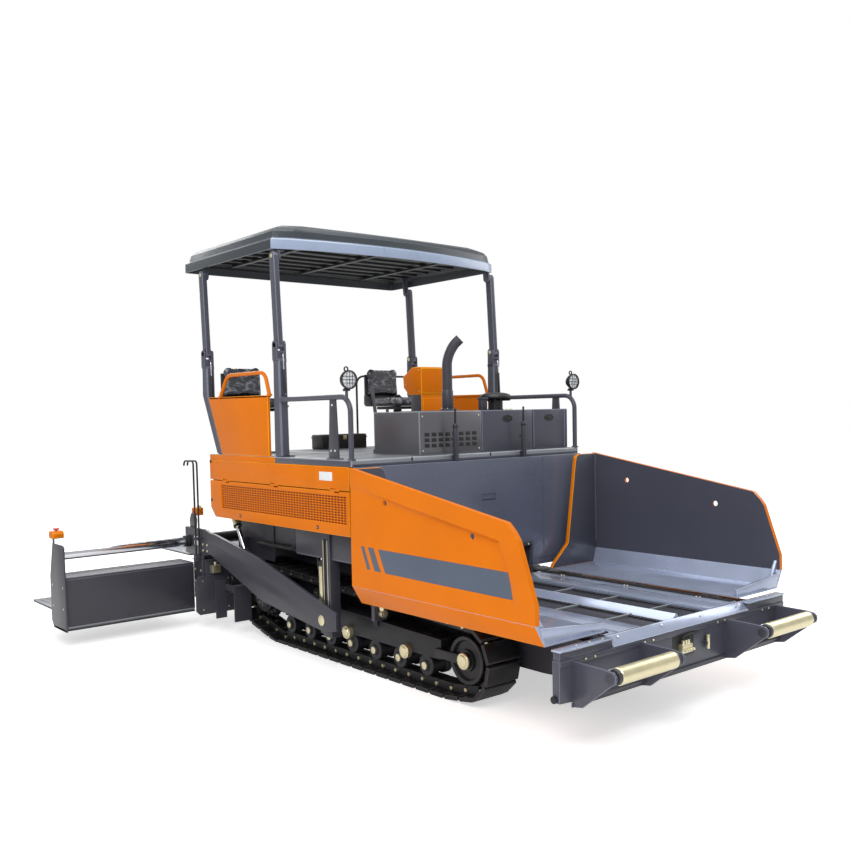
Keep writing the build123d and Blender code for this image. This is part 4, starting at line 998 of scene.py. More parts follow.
def make_lower_posts():
    """Fixed posts with their forks, pins, gas struts and foot plates."""
    fx, fz = FRONT_PIVOT
    rx, rz = REAR_PIVOT
    top = DECK_Z
    front = [(fx - 64, top), (fx + 60, top), (fx + 50, fz - 120), (fx - 50, fz - 120)]
    rear = [(-2234, top), (-2120, top), (rx + 50, top + 560), (rx + 50, rz - 120), (rx - 50, rz - 120),
            (rx - 60, top + 560)]
    for name, x, z, outline in (("front", fx, fz, front), ("rear", rx, rz, rear)):
        pieces = [plate("post", "xz", outline, POST_Y, SLATE, 14, 1)]
        for y in ((POST_Y[0], LINK_Y[0] - 5), (LINK_Y[1] + 5, POST_Y[1] + 10)):
            ear = [(x - 38, z - 130), (x + 38, z - 130), (x + 38, z + 12), (x + 26, z + 32), (x, z + 40),
                   (x - 26, z + 32), (x - 38, z + 12)]
            pieces.append(plate("ear", "xz", ear, y, SLATE, 2))
        pieces += [
            cross("pivot_pin", x, z, (POST_Y[0] - 4, POST_Y[1] + 10), PIN_R, ZINC, 2),
            cross("pin_head", x, z, (POST_Y[1] + 6, POST_Y[1] + 10), 26, ZINC, 2, 6),
            block(
                "fork_filler", about(x, 34), (LINK_Y[0] - 6, LINK_Y[1] + 6), (z - 130, z - 50), SLATE,
                2),
            rod("strut_body", at(x + 78, 1262, z - 420), at(x + 70, 1262, z - 210), 11, BLACK, 2, 16),
            rod("strut_rod", at(x + 70, 1262, z - 210), at(x + 62, 1262, z - 70), 5, CHROME, 1, 12),
            block("strut_foot", (x + 44, x + 90), (1256, 1268), (z - 436, z - 414), SLATE, 2),
            block("strut_lug", (x + 36, x + 72), (1256, 1268), (z - 82, z - 60), SLATE, 2),
            block("fork_plate", about(x, 44), (POST_Y[0], POST_Y[1] + 2), (z - 148, z - 118), SLATE, 4),
        ]
        place_pair(joined(f"{name}_lower_post", pieces), "machine", "lower_posts")
    feet = []
    for x in (fx - 30, -2180):
        feet += [
            block("post_foot", (x - 120, x + 128), (1190, 1214), (top, top + 12), SLATE, 2),
            bolts("foot_bolts", [at(x - 90, 1202, top + 12), at(x + 90, 1202, top + 12)], UP, ZINC, 8, 6),
        ]
    place_pair(joined("post_feet", feet), "machine")


def link(name, pivot):
    """Folding upper post: square tube with rounded ends and bushes."""
    x, z = pivot
    tip_x = x + LINK_LEAN
    tip_z = z + LINK_H
    half = 40
    outline = [
        (x - half, z - 10), (x - 22, z - 34), (x + 22, z - 34), (x + half, z - 10),
        (tip_x + half, tip_z + 10), (tip_x + 22, tip_z + 34), (tip_x - 22, tip_z + 34),
        (tip_x - half, tip_z + 10)]
    bar = plate(name, "xz", outline, LINK_Y, SLATE, 7, 3)
    pieces = [bar]
    for px, pz in ((x, z), (tip_x, tip_z)):
        cut(bar, cross("pin_hole", px, pz, (LINK_Y[0] - 20, LINK_Y[1] + 20), PIN_R + 1, SLATE, 0))
        pieces.append(
            turned(
                "bush", at(px, 0, pz), ACROSS,
                [
                    (PIN_R + 0.5, LINK_Y[0] - 2), (25, LINK_Y[0] - 2), (25, LINK_Y[0] + 3),
                    (PIN_R + 0.5, LINK_Y[0] + 3)],
                ZINC, 24))
    return joined(name, pieces)


def make_links():
    place_pair(link("front_link", FRONT_PIVOT), "front_posts", "front_canopy_posts")
    place_pair(link("rear_link", REAR_PIVOT), "rear_posts", "rear_canopy_posts")


ROOF_X = (-2829.0, -1139.0)
ROOF_BOW = 190.0
ROOF_HALF = 1293.0
RIM_Z = (3550.0, 3670.0)
CROWN_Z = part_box("canopy_roof")[1][2] * 1000


def roof_ring(inset, z):
    """Plan of the roof at one height, from the rear right corner round by the front."""
    rear = ROOF_X[0] + inset
    side = ROOF_HALF - inset
    shoulder = ROOF_X[1] - 0.4 * inset
    bow = ROOF_BOW - 0.6 * inset
    points = [(rear, -side + 40), (rear + 12, -side + 12), (rear + 40, -side), (shoulder, -side)]
    reach = side - 160
    for step in range(9):
        y = -reach + step * reach / 4
        points.append((shoulder + 60 + (bow - 60) * (1 - (y / reach) ** 2), y))
    points += [(shoulder, side), (rear + 40, side), (rear + 12, side - 12), (rear, side - 40)]
    return [at(x, y, z) for x, y in points]


def ring_between(name, low, high, coat):
    """Band of faces between two closed outlines of as many points."""
    first = chain(name, low + low[:1], coat)
    rest()
    second = chain(name + "_upper", high + high[:1], coat)
    rest()
    band = joined(name, first, second)
    opened(band)
    bpy.ops.mesh.remove_doubles(threshold=0.0001)
    bpy.ops.mesh.bridge_edge_loops()
    rest()
    return band


def make_canopy():
    """Roof moulding: upright rim, bead, sloping crown with low humps, and its ribbed liner."""
    levels = (
        (0, RIM_Z[0]), (0, RIM_Z[0] + 80), (10, RIM_Z[0] + 88), (22, RIM_Z[0] + 95), (30, RIM_Z[0] + 102),
        (44, RIM_Z[0] + 160), (80, RIM_Z[0] + 196), (160, RIM_Z[0] + 222), (330, CROWN_Z - 18))
    rings = [roof_ring(inset, z) for inset, z in levels]
    bands = [ring_between("roof_band", low, high, ROOFING) for low, high in zip(rings, rings[1:])]
    shell = joined("canopy_shell", bands)
    pick(shell)
    bpy.ops.object.mode_set(mode="EDIT")
    bpy.ops.mesh.select_mode(type="EDGE")
    bpy.ops.mesh.select_all(action="SELECT")
    bpy.ops.mesh.remove_doubles(threshold=0.0001)
    bpy.ops.mesh.select_all(action="DESELECT")
    mesh = bmesh.from_edit_mesh(shell.data)
    for edge in mesh.edges:
        edge.select = edge.is_boundary and all(vert.co.z * 1000 > CROWN_Z - 60 for vert in edge.verts)
    bmesh.update_edit_mesh(shell.data)
    bpy.ops.mesh.edge_face_add()
    bpy.ops.mesh.select_mode(type="VERT")
    outwards(shell)
    applied(shell, "SOLIDIFY", thickness=0.02, offset=-1)
    soften(shell, 6, 3, 25)
    repaint(shell, LINER, lambda middle, normal: normal.z < -0.3 and middle.z * 1000 > RIM_Z[0] + 20)
    # The lower front faces of the rim take a pale painted reflection
    nose = at(ROOF_X[1] + 20, 0, 0).x
    repaint(shell, CANOPY_FRONT_PAINTED_REFLECTION, lambda middle, normal: normal.x > 0.3 and middle.x > nose
            and middle.z * 1000 < RIM_Z[0] + 92)
    place(shell, "roof", "canopy_roof")

    humps = []
    for y in (-720, -240, 240, 720):
        hump = plate("roof_hump", "xy", [
            (-2440, y - 130), (-1540, y - 130), (-1440, y - 90), (-1440, y + 90), (-1540, y + 130),
            (-2440, y + 130)], (CROWN_Z - 46, CROWN_Z - 2), ROOFING, 20, 4)
        humps.append(hump)
    place(joined("roof_humps", humps), "roof")

    ribs = []
    for number in range(8):
        x = -2700 + number * 205
        reach = 1222 if x < -1200 else 1060
        ribs.append(
            block("roof_rib", (x, x + 22), (-reach, reach), (RIM_Z[1] - 26, RIM_Z[1] - 2), LINER, 6))
    for y in (-820, -10, 800):
        ribs.append(
            block(
                "roof_stringer", (-2750, -1080), (y - 14, y + 34), (RIM_Z[1] - 44, RIM_Z[1] - 24), LINER,
                5))
    ribs.append(block("liner", (-2765, -1170), (-1230, 1230), (RIM_Z[1] - 4, RIM_Z[1] + 4), LINER, 3))
    place(joined("roof_liner_ribs", ribs), "roof")

    hangers = []
    for x, z in (FRONT_PIVOT, REAR_PIVOT):
        x += LINK_LEAN
        z += LINK_H
        y = LINK_Y[0] - 22
        hangers += [
            plate("hanger", "xz", [
                (x - 45, z - 20), (x - 20, z - 45), (x + 20, z - 45), (x + 40, z - 20), (x + 34, z + 46),
                (x + 2, z + 58), (x, RIM_Z[1] + 4), (x - 60, RIM_Z[1] + 4)], (y, y + 16), SLATE, 2),
            cross("hanger_pin", x, z, (y, LINK_Y[1] + 2), PIN_R, ZINC, 2),
            block("hanger_flange", (x - 130, x), (y - 60, y + 16), (RIM_Z[1] - 12, RIM_Z[1]), SLATE, 2),
            plate("hanger_web", "yz", [(y, z - 30), (y, RIM_Z[1] - 10), (y - 60, RIM_Z[1] - 10)],
                  about(x, 6), SLATE, 1.5),
        ]
    place_pair(joined("roof_hangers", hangers), "roof")


# ---------------- operator's deck
def make_deck():
    """Deck of separate tread plates with a bright folded lip over the hopper, cut for the tubes."""
    pieces = [block("deck_frame", (-2375, -24), (-1294, 1294), (1716, DECK_Z - 8), DARK, 3)]
    edges_x = (-2380, -1780, -1180, -720, -60)
    edges_y = (-1300, -640, -10, 640, 1300)
    for x0, x1 in zip(edges_x, edges_x[1:]):
        for y0, y1 in zip(edges_y, edges_y[1:]):
            pieces.append(
                block("tread_plate", (x0 + 2, x1 - 2), (y0 + 2, y1 - 2), (DECK_Z - 9, DECK_Z), PLATE, 2))
    lips = (-1300, -712, -690, -282, -228, 158, 182, 526, 580, 1300)
    for y0, y1 in zip(lips[::2], lips[1::2]):
        outline = [
            (-58, DECK_Z), (-58, DECK_Z - 8), (-18, DECK_Z - 8), (-18, DECK_Z - 50), (-10, DECK_Z - 56),
            (-2, DECK_Z - 50), (-2, DECK_Z - 6), (-8, DECK_Z)]
        pieces.append(plate("deck_lip", "xz", outline, (y0, y1), PLATE, 2))
    lower = block("deck_lip_base", (-24, 0), (-1294, 1294), (1716, 1740), SLATE, 3)
    pieces.append(lower)
    edge = block("deck_side_edge", (-2380, -1162), (1286, 1300), (1717, DECK_Z - 4), ORANGE, 3)
    ledge = block("deck_side_ledge", (-1158, -20), (1286, 1300), (1718, DECK_Z - 9), SLATE, 3)
    pieces += [edge, other_side(edge, "deck_side_edge"), ledge, other_side(ledge, "deck_side_ledge")]
    place(joined("deck_plates", pieces), "machine", "operator_deck")


def make_guards():
    """Guard panel between the posts with folded edges, and its rail loop."""
    y = (BODY - 26, BODY)
    outline = [(-2112, DECK_Z), (-1246, DECK_Z), (-1246, 2304), (-2352, 2310), (-2360, 2296)]
    panel = plate("guard_panel", "xz", outline, y, ORANGE, 5, 3)
    fold = plate("guard_fold", "xz", [(-2340, 2292), (-1250, 2286), (-1250, 2305), (-2346, 2311)],
                 (y[0] - 14, y[1]), ORANGE, 3)
    line = BODY - 13
    loop = pipe("guard_loop", [at(-2150, line, 2296), at(-1990, line, 2505), at(-1300, line, 2505),
                               at(-1230, line, 2298)], 17, ORANGE, 70)
    feet = [upright("loop_foot", x, line, (2300, 2316), 24, ORANGE, 2) for x in (-2146, -1232)]
    screws = bolts("guard_screws", [at(x, BODY, z) for x in (-1290, -2080) for z in (1830, 2050, 2240)],
                   ACROSS, ORANGE, 8, 3)
    place_pair(joined("guard", panel, fold, loop, feet, screws), "machine", "side_guards")


def make_handrails():
    """Front rails with their flat plate posts and feet, and the thin rear rail."""
    y = BODY - 20
    rail = pipe(
        "handrail_tube", [at(-1048, y, 2262), at(-24, y, 2262), at(-24, y, DECK_Z)], 21, SLATE, 120, 8)
    stub = upright("lamp_stub", -70, y, (2255, 2318), 12, SLATE, 1, 16)
    post = plate("rail_plate_post", "xz", [(-330, DECK_Z), (-195, DECK_Z), (-222, 2262), (-300, 2262)],
                 about(y, 8), DARK, 2)
    post_bolts = bolts("rail_bolts", [at(-290, y + 8, 1840), at(-235, y + 8, 1840), at(-262, y + 8, 2200)],
                       ACROSS, LABEL, 9, 5)
    flange = block("rail_flange", (-345, -170), (y - 30, y + 20), (DECK_Z, DECK_Z + 10), SLATE, 2)
    foot = upright("rail_foot", -24, y, (DECK_Z, DECK_Z + 10), 34, SLATE, 2)
    clamp = cross_x("rail_clamp", (-1052, -1010), y, 2262, 26, SLATE, 2, 24)
    place_pair(
        joined("handrail", rail, stub, post, post_bolts, flange, foot, clamp), "machine", "handrails")
    rear = pipe("rear_rail", [at(-2350, 420, DECK_Z), at(-2350, 420, 2530), at(-2350, 1180, 2530),
                              at(-2350, 1180, DECK_Z)], 11, RUBBER, 90, 8)
    feet = [
        upright("rear_foot", -2350, y, (DECK_Z, DECK_Z + 8), 26, DARK, 2)
        for y in (420, 1180)]
    place(joined("rear_handrail", rear, feet), "machine", "handrails")


def make_work_lamps():
    """Round lamp with its ribbed shell, bright lens, wire guard, ring bracket and foot."""
    y = BODY - 20
    z = 2392
    centre = at(-24, y, z)
    shell = turned(
        "lamp_shell", centre, (-1, 0, 0),
        [
            (0, 78), (30, 78), (44, 70), (52, 52), (58, 50), (58, 44), (64, 42), (66, 20), (74, 18),
            (74, 0), (66, 0), (64, 8)],
        BLACK, 40)
    lens = turned("lamp_lens", centre, (-1, 0, 0), [(0, 3), (30, 4), (52, 7), (65, 12)], LENS, 40)
    guard = []
    for height in (-26, 0, 26):
        half = math.sqrt(70 ** 2 - height ** 2)
        guard += [
            cross("guard_wire", -23, z + height, (y - half, y + half), 2.2, BLACK, 0.5, 8),
            upright("guard_wire", -23, y + height, (z - half, z + half), 2.2, BLACK, 0.5, 8),
        ]
    bracket = plate("lamp_bracket", "yz", [
        (y - 22, z - 86), (y + 22, z - 86), (y + 22, z - 70), (y - 22, z - 70)], (-92, -48), BLACK, 3)
    ring = turned("lamp_ring", at(-70, y, z + 84), AHEAD, [(12, -4), (21, -4), (21, 4), (12, 4), (12, -4)],
                  BLACK, 24)
    stub = block("lamp_yoke", (-90, -50), about(y, 16), (z - 86, z - 62), BLACK, 3)
    place_pair(joined("work_lamp", shell, lens, guard, bracket, ring, stub), "machine", "work_lamps")


HOOD_X = (-700.0, -66.0)
HOOD_TOP = 2138.0


def make_hood():
    """Engine hood: a dark vented section and two lighter ones with recessed handles."""
    x = HOOD_X
    parts = []
    for name, y, paint in (
        ("vented", (-573, 124), HOODING), ("middle", (128, 758), SLATE), ("end", (1186, 1230), SLATE)):
        parts.append(block("hood_" + name, x, y, (DECK_Z, HOOD_TOP), paint, 9))
    vents = []
    for row in range(3):
        for column in range(8):
            y = -520 + column * 76
            z = 1836 + row * 46
            vents.append(block("hood_vent", (x[1] - 2, x[1] + 1.2), (y, y + 54), (z, z + 32), BLACK, 4))
    for y in (-540, 90):
        parts.append(bolts("hood_bolts", [at(x[1], y, z) for z in (1810, 2096)], AHEAD, ZINC, 8, 5))
    parts.append(hood_handle(440))
    for y in (-330, -90):
        parts.append(
            block(
                "hood_ridge", (x[0] + 60, x[1] - 60), (y, y + 26), (HOOD_TOP - 6, HOOD_TOP + 5), DARK, 4))
    parts.append(block("hinge_plate", (-734, -716), (770, 1180), (DECK_Z, HOOD_TOP - 22), SLATE, 2))
    for y in (800, 1040):
        parts += [
            cross("hood_knuckle", -710, HOOD_TOP, (y + 52, y + 102), 9, ZINC, 1, 20),
            block("knuckle_lug", (-734, -712), (y + 52, y + 102), (HOOD_TOP - 30, HOOD_TOP), SLATE, 2),
            cross("knuckle_pin", -710, HOOD_TOP, (y + 2, y + 53), 4, ZINC, 0.5, 16),
        ]
    place(joined("hood_sections", parts, vents), "machine", "engine_hood")

    lid = block("lid_box", x, (772, 1178), (DECK_Z + 1, HOOD_TOP), SLATE, 9)
    lid_parts = [lid, hood_handle(975)]
    for y in (800, 1040):
        lid_parts += [
            cross("lid_knuckle", -710, HOOD_TOP, (y, y + 50), 9, ZINC, 1, 20),
            block("lid_leaf", (-710, -690), (y, y + 50), (HOOD_TOP - 6, HOOD_TOP + 2), ZINC, 1),
        ]
    place(joined("hood_lid_box", lid_parts), "lid", "hood_lid")


def hood_handle(y):
    """Oval recessed handle on the hood's front face."""
    x = HOOD_X[1]
    z = 2060
    dish = turned(
        "handle_dish", at(x, y, z), AHEAD, [(0, 0.8), (34, 1), (44, 2.4), (52, 2.4), (52, 0), (0, 0)],
        BLACK, 32)
    dish.data.transform(Matrix.Translation(at(x, y, z)) @ Matrix.Diagonal((1, 1.2, 0.62, 1))
                        @ Matrix.Translation(-at(x, y, z)))
    tongue = block("handle_tongue", (x, x + 7), about(y, 30), about(z, 7), BLACK, 3)
    return joined("handle", dish, tongue)


def make_stack():
    """Exhaust stack with its flange, sleeve and slanting open outlet."""
    x, y = -350, -15
    tube = pipe("stack_tube", [at(x, y, 2138), at(x, y, 2660), at(x + 84, y + 84, 2768)], 44, DARK, 120, 10)
    bore = rod("outlet_bore", at(x + 62, y + 62, 2740), at(x + 104, y + 104, 2794), 39, BLACK, 0)
    cut(tube, bore)
    parts = [
        tube,
        upright("stack_flange", x, y, (2138, 2156), 62, DARK, 3),
        upright("stack_sleeve", x, y, (2156, 2320), 50, DARK, 3),
        bolts("flange_bolts", [at(x + 52 * math.cos(a), y + 52 * math.sin(a), 2156)
                               for a in (0.8, 2.4, 3.9, 5.5)], UP, ZINC, 7, 6),
        rod("outlet_dark", at(x + 58, y + 58, 2735), at(x + 61, y + 61, 2739), 39, BLACK, 0.5),
    ]
    place(joined("exhaust_pipe", parts), "machine", "exhaust_stack")


def make_precleaner():
    """Mushroom pre-cleaner with its vanes, and the square air post beside it."""
    x, y = -350, 565
    cap = turned(
        "precleaner_bowl", at(x, y, 0), UP,
        [
            (0, 2138), (74, 2138), (74, 2146), (68, 2150), (68, 2226), (96, 2232), (140, 2240),
            (150, 2250), (150, 2262), (132, 2280), (100, 2292), (60, 2298), (0, 2300)],
        BLACK, 48)
    vanes = []
    for number in range(16):
        turn = Matrix.Rotation(number * math.tau / 16, 4, "Z")
        vane = block("vane", (x + 80, x + 138), about(y, 3), (2222, 2238), BLACK, 1)
        centre = at(x, y, 0)
        vane.data.transform(Matrix.Translation(centre) @ turn @ Matrix.Translation(-centre))
        vanes.append(vane)
    knob = turned(
        "precleaner_knob", at(x, y, 0), UP,
        [(0, 2299), (16, 2299), (18, 2292), (18, 2298), (10, 2300), (0, 2300)], ZINC, 24)
    place(joined("precleaner_mushroom", cap, vanes, knob), "machine", "air_precleaner")
    post = block("air_post", (-330, -280), (330, 400), (2138, 2236), DARK, 5)
    top = block("air_post_cap", (-338, -272), (322, 408), (2236, 2252), DARK, 4)
    place(joined("air_post_box", post, top), "machine")


def make_console():
    """Console: foot cabinet with doors, hexagonal display housing, hood, knobs and side screws."""
    y = (180, 560)
    foot = block("console_foot", (-1120, -960), y, (DECK_Z, 2302), ORANGE, 8)
    head = plate(
        "console_head", "xz",
        [
            (-1150, 2296), (-960, 2296), (-952, 2308), (-952, 2548), (-960, 2560), (-1090, 2560),
            (-1234, 2474), (-1226, 2370)],
        y, ORANGE, 7, 3)
    repaint(foot, DARK, lambda middle, normal: normal.y < -0.9)
    slope = math.atan2(86, 144)
    centre = at(-1162, 370, 2520)
    screen = block("console_face", (-1238, -1086), (204, 536), (2513, 2522), BLACK, 3)
    shift = Matrix.Translation(centre) @ Matrix.Rotation(-slope, 4, "Y") @ Matrix.Translation(-centre)
    parts = [screen]
    for number in range(6):
        y0 = 232 + number * 54
        parts += [
            upright("switch", -1216, y0, (2521, 2535), 9, LABEL, 2, 16),
            upright("switch", -1184, y0, (2521, 2530), 7, RED if number == 0 else ZINC, 1, 12),
        ]
    parts.append(block("display", (-1154, -1104), (250, 490), (2520, 2525), LENS, 2))
    face = joined("console_controls", parts)
    face.data.transform(shift)
    details = [
        block("cabinet_door", (-962, -956), (202, 538), (1800, 2266), ORANGE, 3),
        cross_x("cabinet_latch", (-957, -948), 500, 2030, 14, BLACK, 2),
        bolts("side_screws", [at(x, 180, z) for x, z in ((-1190, 2400), (-990, 2530), (-990, 2330))],
              (0, -1, 0), ZINC, 7, 4),
        block("console_plate", (-1090, -1000), (178.6, 180.4), (2010, 2070), LABEL, 0.5),
    ]
    place(joined("console_cabinet", foot, head, details), "machine", "control_console")
    place(face, "machine")


def make_levers():
    """Raked lever with its knob, and the short stay beside it."""
    x, y = -770, -440
    base = block("lever_base", about(x, 60), (y - 50, y + 60), (DECK_Z, DECK_Z + 40), DARK, 5)
    lever = plate("raked_lever", "xz", [(x - 26, 1812), (x + 6, 1812), (x - 116, 2390), (x - 138, 2390)],
                  (y - 16, y + 8), DARK, 4)
    knob = rod("lever_knob", at(x - 126, y - 4, 2380), at(x - 136, y - 4, 2420), 17, BLACK, 8, 20)
    stay = plate("lever_stay", "xz", [(x + 10, 1812), (x + 34, 1812), (x + 62, 2165), (x + 42, 2165)],
                 (y + 24, y + 46), DARK, 3)
    boot = turned(
        "lever_boot", at(x - 10, y - 4, 0), UP,
        [(0, 1812), (34, 1812), (30, 1822), (32, 1828), (24, 1838), (26, 1844), (16, 1856), (0, 1858)],
        RUBBER, 24)
    place(joined("levers", base, lever, knob, stay, boot), "machine", "deck_fittings")


def make_deck_fittings():
    """Tool box, feeler tubes, pedestals, and the thin aerial rod."""
    box = block("tool_box", (-2330, -2130), (-180, 380), (DECK_Z, 1920), BLACK, 12)
    lid_line = block("tool_box_lid", (-2334, -2126), (-184, 384), (1884, 1894), BLACK, 2)
    hasp = block("tool_box_hasp", (-2132, -2122), (80, 120), (1868, 1908), ZINC, 2)
    pieces = [box, lid_line, hasp]
    for y in (-255, 553):
        pieces += [
            upright("feeler_tube", 22, y, (1716, 2030), 22, DARK, 3, 24),
            upright("feeler_collar", 22, y, (1996, 2014), 24, BLACK, 2, 24),
            upright("feeler_rod", 22, y, (2030, 2165), 9, BLACK, 2, 16),
            block("feeler_clip", (-8, 12), about(y, 26), (1890, 1916), DARK, 2),
        ]
    for x, y in SEATS:
        pieces += [
            block("seat_foot", about(x, 150), about(y, 120), (DECK_Z, DECK_Z + 14), DARK, 3),
            turned("seat_column", at(x, y, 0), UP, [
                (0, 1786), (56, 1786), (56, 1800), (40, 1806), (40, 1960), (34, 1964), (34, 2120),
                (44, 2130), (44, 2170), (0, 2170)], DARK, 28),
        ]
        for dy in (-120, 120):
            pieces.append(
                block(
                    "seat_runner", (x - 180, x + 200), (y + dy - 18, y + dy + 18), (2170, 2198), DARK, 3))
        pieces += [
            block("runner_plate", (x - 150, x + 170), about(y, 150), (2168, 2176), DARK, 2),
            rod("slide_lever", at(x + 180, y - 60, 2184), at(x + 250, y - 60, 2180), 6, BLACK, 2, 12),
        ]
    place(joined("deck_small_fittings", pieces), "machine", "deck_fittings")


# ---------------- seats
SEATS = ((-1900.0, 620.0), (-1990.0, -1000.0))
SEAT_Z = DECK_Z + 428
CREEP = 0.02              # farthest that a point of a cover may move, in metres


def sewn(name, x, y, z, seams):
    """Cushion swollen and creased as cloth from a smaller closed form, with its seams pulled in."""
    low_y, high_y = y[0] + 12, y[1] - 12
    low_z, high_z = z[0] + 12, z[1] - 12
    cut_off = 46 if high_z - low_z > 200 else 4
    outline = [
        (low_y, low_z), (high_y, low_z), (high_y, high_z - cut_off),
        (high_y - 0.3 * cut_off, high_z - 0.3 * cut_off), (high_y - cut_off, high_z),
        (low_y + cut_off, high_z), (low_y + 0.3 * cut_off, high_z - 0.3 * cut_off),
        (low_y, high_z - cut_off)]
    cover = plate(name, "yz", outline, (x[0] + 12, x[1] - 12), VINYL, 0)
    applied(cover, "BEVEL", width=0.026, segments=4, limit_method="ANGLE", angle_limit=math.radians(30))
    applied(cover, "REMESH", mode="VOXEL", voxel_size=0.006)
    start = [vert.co.copy() for vert in cover.data.vertices]
    cloth = cover.modifiers.new("cloth", "CLOTH")
    cloth.settings.use_pressure = True
    cloth.settings.uniform_pressure_force = 4.0
    cloth.settings.effector_weights.gravity = 0
    for number in range(1, 21):
        bpy.context.scene.frame_set(number)
    pick(cover)
    bpy.ops.object.modifier_apply(modifier=cloth.name)
    for vert, old in zip(cover.data.vertices, start):
        step = vert.co - old
        if step.length > CREEP:
            vert.co = old + step * (CREEP / step.length)
    bpy.context.scene.frame_set(1)
    applied(cover, "SUBSURF", levels=1, render_levels=1)
    low = at(x[0] + 1, y[0] + 1, z[0] + 1)
    high = at(x[1] - 1, y[1] - 1, z[1] - 1)
    for vert in cover.data.vertices:
        for axis, place_of_seam in seams:
            off = abs(vert.co[axis] - place_of_seam)
            if off < 0.014:
                pull = 0.007 * (0.5 + 0.5 * math.cos(math.pi * off / 0.014))
                vert.co -= vert.normal * pull
        for axis in range(3):
            vert.co[axis] = min(max(vert.co[axis], low[axis]), high[axis])
    return smooth(cover, 80)


def make_seats():
    """Two seats: cushion and back with sewn channels, shells, hinge cheeks and arm stubs."""
    for number, (x, y) in enumerate(SEATS, 1):
        mid = at(x, y, SEAT_Z)
        channels = [(1, mid.y - 0.095), (1, mid.y + 0.095)]
        cushion = sewn(
            f"seat_cushion_{number}", (x - 226, x + 248), about(y, 228), (SEAT_Z + 14, SEAT_Z + 90),
            channels + [(0, mid.x + 0.13)])
        back = sewn(
            f"seat_back_{number}", (x - 296, x - 226), about(y, 218), (SEAT_Z + 96, SEAT_Z + 420),
            channels + [(2, mid.z + 0.30)])
        for pad, fill in ((cushion, 0.8), (back, 0.8)):
            place(pad, "machine")
        shell = plate(
            f"seat_shell_{number}", "xz",
            [
                (x - 300, SEAT_Z + 30), (x - 286, SEAT_Z + 4), (x - 230, SEAT_Z + 1),
                (x + 236, SEAT_Z + 1), (x + 248, SEAT_Z + 12), (x + 248, SEAT_Z + 22),
                (x - 212, SEAT_Z + 22), (x - 244, SEAT_Z + 50), (x - 270, SEAT_Z + 90),
                (x - 284, SEAT_Z + 340), (x - 299, SEAT_Z + 340)],
            about(y, 210), BLACK, 4)
        cheeks = []
        for side in (-1, 1):
            cheek = [
                (x - 292, SEAT_Z + 20), (x - 160, SEAT_Z + 10), (x - 170, SEAT_Z + 80),
                (x - 250, SEAT_Z + 130), (x - 290, SEAT_Z + 120)]
            cheeks.append(
                plate("seat_cheek", "xz", cheek, sorted((y + side * 210, y + side * 222)), BLACK, 3))
        place(joined(f"seat_shell_{number}", shell, cheeks), "machine")
    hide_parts("operator_seats")


# ---------------- tow points, cylinders and arms
ARM_Y = (1218.0, 1250.0)
GUIDE_Y = (1100.0, 1200.0)
TOW_PIVOT = (-560.0, 430.0)
LIFT_TOP = (-2340.0, 1500.0)
LIFT_EYE = (-1967.0, 850.0)
LIFT_Y = 1175.0


def make_tow_brackets():
    """Guide of the tow pin: channel with wear strips, its arm on the engine bay, pin and cap."""
    x, z = TOW_PIVOT
    guide = block("tow_guide", about(x, 60), GUIDE_Y, (280, 1500), DARK, 5)
    slot = block("guide_slot", about(x, 24), (GUIDE_Y[1] - 12, GUIDE_Y[1] + 10), (360, 1100), DARK, 0)
    cut(guide, slot)
    arm = block("guide_arm", about(x, 60), (1010, GUIDE_Y[0] + 1), (1180, 1500), DARK, 4)
    pieces = [guide, arm]
    for dx in (-34, 25):
        pieces.append(
            block(
                "wear_strip", (x + dx, x + dx + 9), (GUIDE_Y[1] - 2, GUIDE_Y[1] + 3), (380, 1090), ZINC,
                1))
    pieces += [
        cross("tow_pin", x, z, (GUIDE_Y[1] - 14, ARM_Y[1] + 2), 30, ZINC, 2),
        cross("tow_cap", x, z, (ARM_Y[1] + 1, ARM_Y[1] + 9), 44, ZINC, 3),
    ]
    spots = [at(x + 30 * math.cos(a), ARM_Y[1] + 9, z + 30 * math.sin(a)) for a in (0.5, 2.6, 4.7)]
    pieces.append(bolts("cap_bolts", spots, ACROSS, ZINC, 6, 4))
    lift_x, lift_z = LIFT_TOP
    for y in (LIFT_Y - 52, LIFT_Y + 42):
        pieces.append(plate("lift_lug", "xz", [
            (lift_x - 38, lift_z - 24), (lift_x - 20, lift_z - 44), (lift_x + 28, lift_z - 45),
            (lift_x + 50, lift_z - 30), (lift_x + 70, 1716), (lift_x - 38, 1716)], (y, y + 10), DARK, 2))
    pieces.append(cross("lift_pin", lift_x, lift_z, about(LIFT_Y, 58), 18, ZINC, 2))
    place_pair(joined("tow_bracket", pieces), "machine", "screed_brackets")


def make_levelling():
    """Levelling cylinder: plated barrel with black ends, chrome rod, hose and foot."""
    x = TOW_PIVOT[0] - 110
    y = GUIDE_Y[1] - 45
    pieces = [
        upright("levelling_barrel", x, y, (330, 880), 36, ZINC, 3),
        upright("levelling_head", x, y, (860, 906), 38, BLACK, 4),
        upright("levelling_base", x, y, (320, 346), 38, BLACK, 4),
        upright("levelling_rod", x, y, (900, 1192), 19, CHROME, 1),
        block("levelling_lug", (x - 24, x + 50), about(y, 24), (1186, 1240), DARK, 5),
        block("levelling_foot", (x - 24, x + 50), about(y, 22), (292, 322), DARK, 4),
    ]
    for z in (410, 820):
        pieces.append(cross_x("levelling_port", (x - 30, x - 46), y, z, 11, ZINC, 2, 12))
    pieces.append(pipe("levelling_hose", [at(x - 44, y, 820), at(x - 74, y, 826), at(x - 78, y, 1080),
                                          at(x - 60, y - 20, 1150)], 8, RUBBER, 24, 4))
    place_pair(joined("levelling_cylinder", pieces), "machine", "levelling_cylinders")


